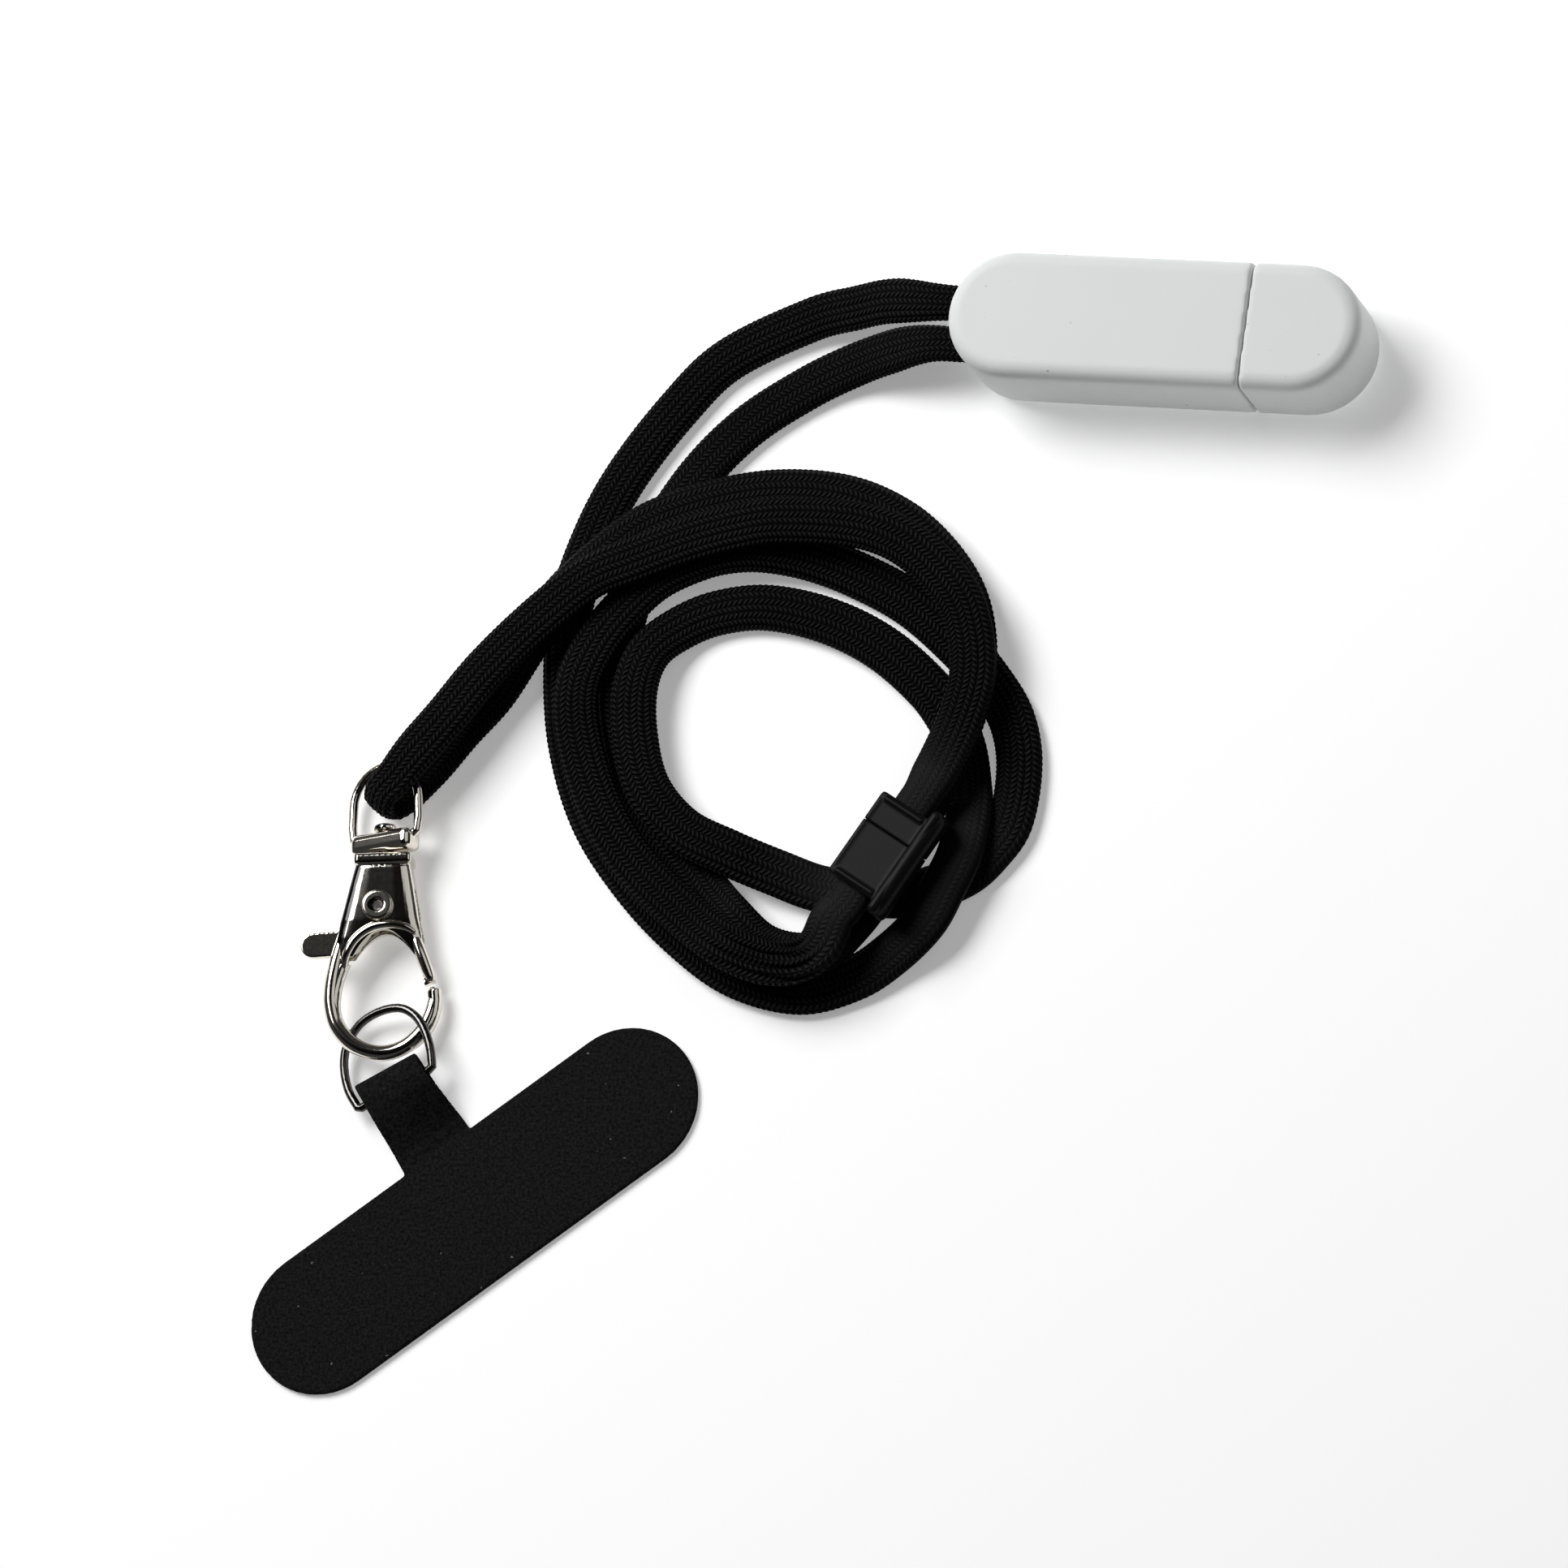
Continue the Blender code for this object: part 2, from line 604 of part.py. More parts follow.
def swivel_eye(nickel):
    bridge_low = GAP
    bridge_high = GAP + BRIDGE_LENGTH
    bridge = rounded_block(
        "swivel_eye", (-BRIDGE_WIDTH / 2, bridge_low, -BRIDGE_THICKNESS / 2),
        (BRIDGE_WIDTH / 2, bridge_high, BRIDGE_THICKNESS / 2), 0.0012, nickel)
    radius = EYE_WIDTH / 2 - EYE_WIRE / 2
    foot = bridge_low + BRIDGE_LENGTH * 0.45
    crown = EYE_HEIGHT - EYE_WIRE / 2 - radius
    line = [Vector((-BRIDGE_WIDTH * 0.36, foot, 0)), Vector((-radius * 0.97, foot + 0.0016, 0))]
    line.append(Vector((-radius * 1.02, crown * 0.62, 0)))
    for number in range(15):
        angle = math.pi - math.pi * number / 14
        line.append(Vector((radius * math.cos(angle), crown + radius * math.sin(angle), 0)))
    line.append(Vector((radius * 1.02, crown * 0.62, 0)))
    line += [Vector((radius * 0.97, foot + 0.0016, 0)), Vector((BRIDGE_WIDTH * 0.36, foot, 0))]
    bail = wire("eye_bail", line, EYE_WIRE / 2, 12)
    boolean(bridge, bail, "UNION")
    bore = turned(
        "eye_bore", [(0, -0.002), (POST_DIAMETER / 2 + GAP, -0.002),
                     (POST_DIAMETER / 2 + GAP, bridge_high + 0.002), (0, bridge_high + 0.002)], 24)
    along_y(bore)
    boolean(bridge, bore, "DIFFERENCE")
    for thing in (bridge, bail, bore):
        thing.matrix_world = hook_matrix(EYE_ROLL)


# Half-width, thickness and sideways place of the body, at shares of its length
BODY_TABLE = [
    {"along": 0.00, "left": -0.54, "right": 0.51, "thick": 0.90},
    {"along": 0.06, "left": -0.57, "right": 0.54, "thick": 1.00},
    {"along": 0.25, "left": -0.66, "right": 0.60, "thick": 1.00},
    {"along": 0.45, "left": -0.75, "right": 0.66, "thick": 1.00},
    {"along": 0.62, "left": -0.83, "right": 0.71, "thick": 0.98},
    {"along": 0.80, "left": -0.91, "right": 0.78, "thick": 0.86},
    {"along": 1.00, "left": -1.00, "right": 0.82, "thick": 0.62},
]


def body_form(nickel):
    """The hook's tapered body, flat-faced with rounded sides."""
    rings = []
    for row in BODY_TABLE:
        y = -COLLAR_LENGTH - row["along"] * (BODY_LENGTH - COLLAR_LENGTH)
        left = row["left"] * BODY_TOP_WIDTH
        right = row["right"] * BODY_TOP_WIDTH
        half = row["thick"] * BODY_THICKNESS / 2
        centre = (left + right) / 2
        reach = (right - left) / 2
        ring = []
        for number in range(28):
            angle = 2 * math.pi * (number + 0.5) / 28
            x = math.copysign(abs(math.cos(angle)) ** 0.42, math.cos(angle))
            z = math.copysign(abs(math.sin(angle)) ** 0.62, math.sin(angle))
            ring.append(Vector((centre + reach * x, y, half * z)))
        rings.append(ring)
    return loft("hook_body", rings, nickel, smooth_angle=40)


def teardrop(grow):
    """Outline of the space inside the hook loop, as a smooth closed line about its middle."""
    centre_y = -LOOP_LENGTH + LOOP_WIDTH / 2
    wide = LOOP_WIDTH / 2 - LOOP_WIRE / 2 + grow
    top = -0.0132 + grow - centre_y
    made = []
    for number in range(40):
        angle = 2 * math.pi * number / 40
        x = wide * math.cos(angle)
        y = math.sin(angle) * (top if math.sin(angle) > 0 else wide)
        if y > 0:
            x *= 1 - 0.20 * (y / top) ** 2
        made.append(Vector((0.0002 + x, centre_y + y, 0)))
    return made


def hook_body(nickel):
    body = body_form(nickel)
    collar = rounded_block(
        "hook_collar", (-COLLAR_WIDTH / 2, -COLLAR_LENGTH - COLLAR_EDGE, -COLLAR_THICKNESS / 2),
        (COLLAR_WIDTH / 2, 0, COLLAR_THICKNESS / 2), COLLAR_EDGE, segments=2)
    boolean(body, collar, "UNION")
    head_low = 2 * GAP + BRIDGE_LENGTH
    head_high = head_low + POST_HEAD_LENGTH
    pin = POST_DIAMETER / 2
    head = POST_HEAD_DIAMETER / 2
    post = turned(
        "hook_post", [(0, -0.001), (pin, -0.001), (pin, head_low), (head, head_low),
                      (head, head_high - 0.0003), (head - 0.0003, head_high), (0, head_high)], 24)
    along_y(post)
    boolean(body, post, "UNION")
    loop = wire("hook_loop", teardrop(LOOP_WIRE / 2), LOOP_WIRE / 2, 14, closed=True)
    gate_inside = BODY_TOP_WIDTH / 2
    gate_room = loft("gate_room", [
        [Vector((x, y, height)) for x, y in (
            (gate_inside, NOSE_TOP - NOSE_SLANT), (LOOP_WIDTH, NOSE_TOP + NOSE_SLANT * 2),
            (LOOP_WIDTH, -0.0120), (gate_inside, -0.0120))] for height in (-0.01, 0.01)])
    boolean(loop, gate_room, "DIFFERENCE")
    boolean(body, loop, "UNION")
    space = loft("loop_space", [
        [point + Vector((0, 0, height)) for point in teardrop(0.0)] for height in (-0.01, 0.01)])
    boolean(body, space, "DIFFERENCE")
    slot_high = TRIGGER_THICKNESS / 2 + GAP
    slot = box("trigger_slot", (-0.02, -0.0190, -slot_high), (0.02, -0.0060, slot_high))
    left_wall = box("slot_stop", (-0.02, -0.0300, -0.01), (-0.0046, -0.0186, 0.01))
    boolean(slot, left_wall, "DIFFERENCE")
    boolean(body, slot, "DIFFERENCE")
    bore = turned("rivet_bore", [
        (0, -0.01), (RIVET_PIN / 2 + GAP, -0.01), (RIVET_PIN / 2 + GAP, 0.01), (0, 0.01)], 28)
    for vertex in bore.data.vertices:
        vertex.co.x += TRIGGER_PIVOT[0]
        vertex.co.y += TRIGGER_PIVOT[1]
    boolean(body, bore, "DIFFERENCE")
    for thing in (body, collar, post, loop, gate_room, space, slot, left_wall, bore):
        thing.matrix_world = hook_matrix(HOOK_ROLL)


def rivet(nickel):
    pin = RIVET_PIN / 2
    head = RIVET_HEAD / 2
    bore = RIVET_BORE / 2
    seat = BODY_THICKNESS / 2 + GAP
    top = seat + RIVET_HEAD_RISE
    profile = [
        (bore + 0.0003, -top), (head - 0.0003, -top), (head, -top + 0.0002), (head, -seat), (pin, -seat),
        (pin, seat), (head, seat), (head, top - 0.0002), (head - 0.0003, top), (bore + 0.0003, top),
        (bore, top - 0.0003), (bore, -top + 0.0003),
    ]
    made = turned("hook_rivet", profile, 28, nickel)
    made.matrix_world = hook_matrix(HOOK_ROLL) @ Matrix.Translation((*TRIGGER_PIVOT, 0))


def trigger(nickel):
    """The gate arm and thumb lever, a flat plate about the rivet."""
    pivot = Vector((*TRIGGER_PIVOT, 0))
    thick = TRIGGER_THICKNESS / 2
    hub = RIVET_PIN / 2 + GAP + 0.0011
    tip = Vector((*LEVER_TIP, 0)) - pivot
    root = Vector((*LEVER_ROOT, 0)) - pivot
    lever_along = tip - root
    lever_turn = math.atan2(lever_along.y, lever_along.x)
    bar = stadium(lever_along.length + LEVER_WIDTH, LEVER_WIDTH, 10)
    move = Matrix.Translation((tip + root) / 2) @ Matrix.Rotation(lever_turn, 4, "Z")
    lever = loft("hook_trigger", [
        [move @ Vector((x, y, height)) for x, y in bar] for height in (-thick, thick)], nickel)
    link_side = root.normalized().cross(Vector((0, 0, 1))) * LEVER_WIDTH * 0.45
    link = loft("lever_link", [
        [point + Vector((0, 0, height))
         for point in (link_side, root + link_side, root - link_side, -link_side)]
        for height in (-thick, thick)])
    boolean(lever, link, "UNION")
    disc = turned("trigger_hub", [(0, -thick), (hub, -thick), (hub, thick), (0, thick)], 28)
    boolean(lever, disc, "UNION")
    outer = [
        Vector((0.0014, 0.0016, 0)), Vector((0.0042, 0.0006, 0)), Vector((0.0060, -0.0022, 0)),
        Vector((0.0076, -0.0068, 0)), Vector((0.0090, -0.0110, 0)),
        Vector((0.0095, GATE_END_OUTER - pivot.y, 0)),
    ]
    inner = [
        Vector((0.0095 - GATE_WIDTH, GATE_END_INNER - pivot.y, 0)),
        Vector((0.0090 - GATE_WIDTH, -0.0108, 0)), Vector((0.0076 - GATE_WIDTH, -0.0072, 0)),
        Vector((0.0036, -0.0034, 0)), Vector((0.0010, -0.0024, 0)),
    ]
    arm = loft("gate_arm", [
        [point + Vector((0, 0, height)) for point in outer + inner] for height in (-thick, thick)])
    boolean(lever, arm, "UNION")
    bore = turned("trigger_bore", [
        (0, -0.01), (RIVET_PIN / 2 + GAP, -0.01), (RIVET_PIN / 2 + GAP, 0.01), (0, 0.01)], 28)
    boolean(lever, bore, "DIFFERENCE")
    frame = hook_matrix(HOOK_ROLL) @ Matrix.Translation(pivot)
    for thing in (lever, link, disc, arm, bore):
        thing.matrix_world = frame


# D-ring: its corners in millimetres, chosen by hand on the photograph's outline
RING_CORNERS = [
    (-76.2, -45.4), (-78.2, -42.3), (-79.3, -38.2), (-79.0, -34.6), (-76.9, -31.2), (-73.4, -29.3),
    (-69.6, -28.9), (-66.8, -30.2), (-64.9, -32.5), (-63.4, -35.9), (-62.7, -39.4),
]


def ring_height(point):
    """The ring leans: its left side lies under the hook and its right side over it."""
    left = RING_CORNERS[3][0] * MM
    right = RING_CORNERS[8][0] * MM
    share = (point[0] - left) / (right - left)
    return RING_LEFT_HEIGHT + (RING_RIGHT_HEIGHT - RING_LEFT_HEIGHT) * share


def d_ring(dark):
    line = []
    corners = [Vector((x * MM, y * MM, 0)) for x, y in RING_CORNERS]
    curve = smooth_curve([(point.x, point.y, 0) for point in corners], 3)
    first = corners[0]
    last = corners[-1]
    bar = (last - first).normalized()
    for point in curve:
        line.append(point)
    line.append(last - bar * 0.0008 + Vector((-0.0001, -0.0004, 0)))
    line.append(last - bar * 0.0022 + Vector((0, -0.0003, 0)))
    line.append(first + bar * 0.0022 + Vector((0, -0.0003, 0)))
    line.append(first + bar * 0.0008 + Vector((-0.0001, -0.0004, 0)))
    raised = [Vector((point.x, point.y, ring_height(point))) for point in line]
    return wire("d_ring", raised, RING_WIRE / 2, 12, dark, closed=True)


# Tether card

def card(cloth):
    """A flat round-ended sheet whose narrow neck folds back round the ring's bar."""
    plate = capsule(
        "card", CARD_LENGTH, CARD_WIDTH, 0, CARD_THICKNESS, CARD_EDGE, 24, cloth, edge_steps=1)
    place(plate, CARD_AT, 0.0, CARD_TURN)
    first = Vector(RING_CORNERS[0]) * MM
    last = Vector(RING_CORNERS[-1]) * MM
    bar = (last - first).normalized()
    bar_middle = (first + last) / 2
    joint_left = Vector(NECK_JOINT_LEFT)
    joint_right = Vector(NECK_JOINT_RIGHT)
    joint_middle = (joint_left + joint_right) / 2
    across = (joint_right - joint_left).normalized()
    away = (bar_middle - joint_middle).normalized()
    rings = []
    for number in range(NECK_STATIONS):
        share = number / (NECK_STATIONS - 1) - 0.5
        at_bar = bar_middle + bar * share * NECK_WIDTH_AT_WAIST
        at_joint = joint_middle + across * share * NECK_WIDTH_AT_CARD
        at_tip = bar_middle + away * NECK_LOOSE + bar * share * NECK_WIDTH_AT_FOLD
        rings.append(neck_profile(at_joint - away * NECK_ROOT, at_joint, at_bar, at_tip, away))
    neck = loft("neck_form", rings)
    boolean(plate, neck, "UNION")


def neck_profile(at_root, at_joint, at_bar, at_tip, away):
    """One closed strip outline: out along the underside, round the fold, back on top, then inside."""
    bar_height = ring_height(at_bar)
    inside = RING_WIRE / 2 + GAP
    middle = CARD_THICKNESS / 2

    def leg(from_height, to_height):
        """Points from the joint to the bar, level at both ends."""
        points = []
        for step in range(NECK_STEPS + 1):
            share = step / NECK_STEPS
            rise = share * share * (3 - 2 * share)
            place_now = at_joint.lerp(at_bar, share)
            height = from_height + (to_height - from_height) * rise
            points.append(Vector((place_now.x, place_now.y, height)))
        return points

    def fold(half):
        """Points round the fold beyond the bar, from below to above."""
        points = []
        reach = (at_tip - at_bar).length - NECK_THICKNESS - inside + half
        for step in range(1, 8):
            angle = math.pi * (step / 8 - 0.5)
            flat = at_bar + away * reach * math.cos(angle) ** 0.5
            points.append(Vector((flat.x, flat.y, bar_height + half * math.sin(angle))))
        return points

    low = NECK_SEAM
    high = CARD_THICKNESS - NECK_SEAM
    outside = inside + NECK_THICKNESS
    made = [Vector((at_root.x, at_root.y, low))]
    made += leg(low, bar_height - outside)
    made += fold(outside)
    made += reversed(leg(high, bar_height + outside))
    made.append(Vector((at_root.x, at_root.y, high)))
    made.append(Vector((at_root.x, at_root.y, middle + NECK_SEAM)))
    made += leg(middle + NECK_SEAM, bar_height + inside)
    made += reversed(fold(inside))
    made += reversed(leg(middle - NECK_SEAM, bar_height - inside))
    made.append(Vector((at_root.x, at_root.y, middle - NECK_SEAM)))
    return made


def build():
    clear_scene()
    black_cloth = material("braid black", (0.012, 0.012, 0.013), 0.85)
    card_cloth = material("card black", (0.015, 0.015, 0.016), 0.8)
    black_plastic = material("buckle black", (0.016, 0.016, 0.017), 0.5)
    white_plastic = material("housing white", (0.74, 0.75, 0.74), 0.45)
    nickel = material("warm nickel", (0.80, 0.77, 0.72), 0.12, 1.0)
    black_nickel = material("black nickel", (0.12, 0.12, 0.13), 0.18, 1.0)
    housing(white_plastic)
    strap("strap_long", LONG_ROUTE, LONG_RINGS, long_width, black_cloth)
    strap("strap_short", SHORT_ROUTE, SHORT_RINGS, short_width, black_cloth)
    buckle(black_plastic)
    swivel_eye(nickel)
    hook_body(nickel)
    rivet(nickel)
    trigger(nickel)
    d_ring(black_nickel)
    card(card_cloth)


build()
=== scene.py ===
# Phone crossbody strap: black flat braid, swivel snap hook with a tether card, white capsule housing.
import math

import bmesh
import bpy
import numpy as np
from mathutils import Matrix, Vector


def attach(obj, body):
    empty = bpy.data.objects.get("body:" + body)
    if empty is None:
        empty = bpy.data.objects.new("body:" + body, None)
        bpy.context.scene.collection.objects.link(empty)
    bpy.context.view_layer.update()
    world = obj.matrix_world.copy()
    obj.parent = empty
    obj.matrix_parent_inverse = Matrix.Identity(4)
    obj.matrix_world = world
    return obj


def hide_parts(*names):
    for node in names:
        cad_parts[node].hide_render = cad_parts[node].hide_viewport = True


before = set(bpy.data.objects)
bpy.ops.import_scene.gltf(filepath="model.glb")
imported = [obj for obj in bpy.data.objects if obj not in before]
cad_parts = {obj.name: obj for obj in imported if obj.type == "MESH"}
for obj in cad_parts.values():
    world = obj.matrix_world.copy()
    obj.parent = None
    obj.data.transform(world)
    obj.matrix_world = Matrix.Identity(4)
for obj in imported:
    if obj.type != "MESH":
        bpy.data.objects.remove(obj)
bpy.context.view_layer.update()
mm = 0.001
print("frame loaded")

# Camera: long lens, leaning from above toward the photograph's lower right
camera = {
    "photoSide": 1932,           # pixels of the photograph's side
    "pixelsPerMetre": 7500,
    "originPixel": (1005, 1010),  # where the point originPlace lies in the photograph
    "originPlace": (-0.0001, 0.0016, 0.0),
    "lean": math.radians(24),
    "toward": (0.73, -0.684),
    "distance": 1.5,
}


def makeCamera():
    dx, dy = camera["toward"]
    size = math.hypot(dx, dy)
    dx, dy = dx / size, dy / size
    lean = camera["lean"]
    back = Vector((math.sin(lean) * dx, math.sin(lean) * dy, math.cos(lean)))
    along = Vector((math.cos(lean) * dx, math.cos(lean) * dy, -math.sin(lean)))
    across = Vector((-dy, dx, 0))
    right = along * dx - across * dy
    up = along * dy + across * dx
    half = camera["photoSide"] / 2
    u = (half - camera["originPixel"][0]) / camera["pixelsPerMetre"]
    v = (camera["originPixel"][1] - half) / camera["pixelsPerMetre"]
    aim = Vector(camera["originPlace"]) + right * u + up * v
    place = aim + back * camera["distance"]
    data = bpy.data.cameras.new("camera")
    data.lens = 36 * camera["distance"] * camera["pixelsPerMetre"] / camera["photoSide"]
    data.clip_start, data.clip_end = 0.05, 20
    made = bpy.data.objects.new("camera", data)
    turn = Matrix((right, up, back)).transposed().to_4x4()
    made.matrix_world = Matrix.Translation(place) @ turn
    bpy.context.scene.collection.objects.link(made)
    bpy.context.scene.camera = made


makeCamera()


# Node helpers
def newMaterial(name):
    made = bpy.data.materials.new(name)
    made.use_nodes = True
    return made, made.node_tree.nodes, made.node_tree.links, made.node_tree.nodes["Principled BSDF"]


def mathNode(nodes, links, kind, *values, clamp=False):
    made = nodes.new("ShaderNodeMath")
    made.operation = kind
    made.use_clamp = clamp
    for slot, value in enumerate(values):
        if isinstance(value, (int, float)):
            made.inputs[slot].default_value = value
        else:
            links.new(value, made.inputs[slot])
    return made.outputs[0]


# each of low and high is a colour, or another node's colour output
def colourMix(nodes, links, factor, low, high):
    made = nodes.new("ShaderNodeMix")
    made.data_type = "RGBA"
    for slot, colour in ((6, low), (7, high)):
        if isinstance(colour, tuple):
            made.inputs[slot].default_value = (*colour, 1)
        else:
            links.new(colour, made.inputs[slot])
    links.new(factor, made.inputs[0])
    return made.outputs[2]


def noiseNode(nodes, links, scale, detail=3.0, rough=0.5):
    made = nodes.new("ShaderNodeTexNoise")
    made.inputs["Scale"].default_value = scale
    made.inputs["Detail"].default_value = detail
    made.inputs["Roughness"].default_value = rough
    links.new(objectCoords(nodes), made.inputs["Vector"])
    return made.outputs["Fac"]


def mapRange(nodes, links, value, span, values, smooth=False):
    made = nodes.new("ShaderNodeMapRange")
    if smooth:
        made.interpolation_type = "SMOOTHSTEP"
    made.inputs["From Min"].default_value, made.inputs["From Max"].default_value = span
    made.inputs["To Min"].default_value, made.inputs["To Max"].default_value = values
    links.new(value, made.inputs["Value"])
    return made.outputs[0]


# a vector operation on two vectors, where the second may be a plain one
def vectorNode(nodes, links, kind, first, second):
    made = nodes.new("ShaderNodeVectorMath")
    made.operation = kind
    links.new(first, made.inputs[0])
    made.inputs[1].default_value = second
    return made.outputs["Value" if kind in ("DISTANCE", "DOT_PRODUCT") else "Vector"]


def objectCoords(nodes):
    return nodes.new("ShaderNodeTexCoord").outputs["Object"]


def bumpNode(nodes, links, shader, height, distance, strength=1.0):
    made = nodes.new("ShaderNodeBump")
    made.inputs["Distance"].default_value = distance
    made.inputs["Strength"].default_value = strength
    links.new(height, made.inputs["Height"])
    links.new(made.outputs[0], shader.inputs["Normal"])


# from one value to another as the surface turns toward a fixed direction, used to paint shade and
# reflection into a colour
def paintedLightByFacing(nodes, links, toward, span, values):
    normal = nodes.new("ShaderNodeNewGeometry").outputs["Normal"]
    return mapRange(nodes, links, vectorNode(nodes, links, "DOT_PRODUCT", normal, toward), span, values)


# Braid: knitted V stitches in columns, along and round a flat tube
braid = {
    "width": 7.9 * mm, "thickness": 2.6 * mm,
    "portWidth": 6.1 * mm, "portDepth": 3.0 * mm, "narrowing": 12 * mm,
    "foldWidth": 6.4 * mm, "foldEase": 14 * mm,
    "pocketWidth": 7.0 * mm, "pocketEase": 5 * mm, "mouth": 5.2 * mm,
    "sideRound": 0.72, "topRound": 0.80, "topReach": 0.20,    # the flat oval's form
    "topPoints": 34, "basePoints": 8, "ringStep": 0.28 * mm,
    "stitch": 0.90 * mm, "column": 1.18 * mm, "slant": 0.40, "relief": 0.30 * mm,
    "smoothHeight": 0.75,                                     # the knit's height where it is smoothed away
    "smoothTone": 0.30, "knittedLeast": 0.10,
    "flatPlace": (14.6 * mm, -6.7 * mm, 8.9 * mm), "flatFrom": 15 * mm, "flatTo": 26 * mm,
    "wrinkle": 0.55 * mm, "wrinkleWidth": 1.9 * mm, "wrinkleFrom": 13 * mm, "wrinkleTo": 36 * mm,
    "wrinkleStart": 5 * mm, "wrinkleEnd": 9 * mm, "wrinkleTop": 0.35,
    "wander": 0.4 * mm, "wanderLength": 4 * mm,
    # dark is the painted shade in the stitch grooves and light the painted highlight on the stitch tops
    "dark": (0.0002, 0.0002, 0.0003), "light": (0.024, 0.024, 0.0245), "roughness": 0.55, "shine": 0.06,
    "fibreGrain": 3800, "fibreShare": 0.22, "bump": 0.00048, "patchGrain": 60,
    # the painted shade by facing: the side the key light falls from, and the span and tones of the
    # darkening away from it
    "lightSide": (-0.35, 0.30, 0.89), "paintedShadeSpan": (0.40, 0.95), "paintedShadeTone": (0.18, 1.0),
}

# The routes of the strap's two stretches, as listed: x, y and height in millimetres
longRoute = [
    (26.1, 86.8, 8), (18.6, 87.7, 7.9), (10.9, 88.9, 6.2), (4.6, 88.9, 4),
    (-3.9, 88.1, 1.8), (-18.45, 81.95, 1.4), (-26.8, 73.9, 1.4), (-35.4, 62.5, 1.4),
    (-40.6, 52.1, 1.4), (-43.9, 40.8, 1.4), (-44.4, 29.2, 1.4), (-42.8, 16, 1.4),
    (-38.2, 2.9, 1.4), (-30.5, -8.4, 1.4), (-21.6, -17.7, 1.4), (-11.9, -24.8, 1.4),
    (-0.8, -28, 1.4), (8.4, -26, 1.4), (14.9, -22.2, 2.2), (20.6, -17.6, 4.1),
    (23.7, -12, 4.5), (26.2, -6.5, 4.5), (27.1, 0.9, 3.1), (26.3, 6.2, 1.5),
    (25.2, 11.9, 1.4), (23, 16.8, 1.4), (18.75, 22.75, 1.4), (10.55, 30.1, 1.4),
    (1.1, 35.25, 1.4), (-9.5, 38.1, 1.4), (-18.2, 37.65, 1.4), (-24.5, 35.1, 2),
    (-29.05, 30.8, 3.6), (-31, 24.6, 4.35), (-30.7, 16.3, 4.35), (-28, 7, 4.35),
    (-21.8, -0.3, 4.35), (-13.5, -4.7, 4.4), (-5.4, -8.1, 2.9), (1.6, -10.7, 1.6),
    (8.6, -11.6, 1.4), (17, -12.2, 1.4), (25.9, -9.4, 1.4), (30.5, -5.5, 1.4),
    (33.7, -0.6, 1.4), (34.85, 8.85, 1.4), (33.3, 16.6, 1.4), (29.3, 23.3, 1.4),
    (23.95, 29.65, 1.4), (15.25, 37.45, 1.4), (5.7, 43, 1.4), (-2.2, 46.1, 2.2),
    (-9.4, 47.5, 3.4), (-14.9, 47.55, 4), (-20.6, 46.55, 4.1), (-28, 43.4, 4.3),
    (-33.6, 38.6, 4.2), (-38.2, 32.6, 4.35), (-41.2, 25.1, 4.35), (-40.5, 16.1, 4.35),
    (-35.9, 3.3, 4.35), (-29.4, -6.4, 4.4), (-20, -15.3, 5.4), (-13, -20.7, 7.1),
    (-6.4, -23.9, 7.5), (-1.5, -24.6, 7.4), (1.6, -23.9, 7.6), (4.4, -21.8, 8.2),
    (6.5, -17.8, 8.9), (8.4, -15.8, 8.8), (9.9, -13.6, 8.9),
    (11.5, -11.2, 8.9),
]
shortRoute = [
    (17.6, -2.3, 8.9), (19.2, 0, 8.9), (21.2, 3.1, 8.9), (23.8, 8.8, 8.2),
    (26.4, 15.7, 7.6), (27.9, 22.5, 7.3), (27.6, 28.8, 7.3), (25.5, 35.6, 7.3),
    (20.6, 42, 7.3), (14.1, 47.1, 7.3), (6.3, 49.9, 7.3), (-6.4, 51.2, 7.3),
    (-14, 50.5, 7.3), (-22.3, 48.7, 7.3), (-31.1, 45.9, 7.3), (-38.95, 43, 7.4),
    (-47.75, 36.35, 7.4), (-56.4, 28, 7.5), (-62.7, 20, 7.9), (-68, 13.6, 8.3),
    (-71.3, 9.5, 8.1), (-73.6, 7.7, 7.2), (-74.5, 6.5, 5.9), (-74.8, 6.1, 4.4),
    (-74.3, 6.5, 2.9), (-71.9, 8.2, 1.8), (-68.2, 12.4, 1.4), (-62.65, 19.15, 1.4),
    (-56.5, 25.35, 2.2), (-50.47, 33.33, 4), (-44.55, 41.2, 4.5), (-38.35, 47.05, 4.5),
    (-30.4, 52.7, 4.4), (-20.4, 55.9, 4.35), (-8.1, 57.3, 4.35), (4.1, 55.6, 4.35),
    (13.7, 50.9, 4.35), (20.7, 44.3, 4.35), (25.4, 36.7, 4.35), (27.2, 28.3, 4.35),
    (26.6, 20, 4.35), (23.7, 10.6, 4.6), (18.9, -0.2, 4.6), (13.9, -8.4, 4.35),
    (10.2, -14.7, 4.3), (7.2, -18.4, 4.3), (4.4, -21.1, 4.3), (1, -22.7, 4.4),
    (-3.5, -22.3, 4.5), (-8, -20.2, 4.1), (-12.5, -15.9, 4.15), (-17.2, -10.8, 2),
    (-21.3, -4.8, 1.4), (-26.3, 1.3, 1.4), (-30.9, 8.8, 1.4), (-33.6, 16.9, 1.4),
    (-34.8, 25, 1.4), (-34.7, 37, 1.4), (-30.5, 49.3, 1.4), (-23.4, 61.1, 1.4),
    (-14.8, 69.85, 1.4), (-4.45, 76.2, 1.4), (4.2, 79.5, 2.4), (12.2, 80.5, 5.6),
    (18.7, 80.5, 7.8), (25.3, 79.8, 8),
]
foldPoint = 23    # where the short strap turns back at the eye
uvScale = 100     # UV units to the metre


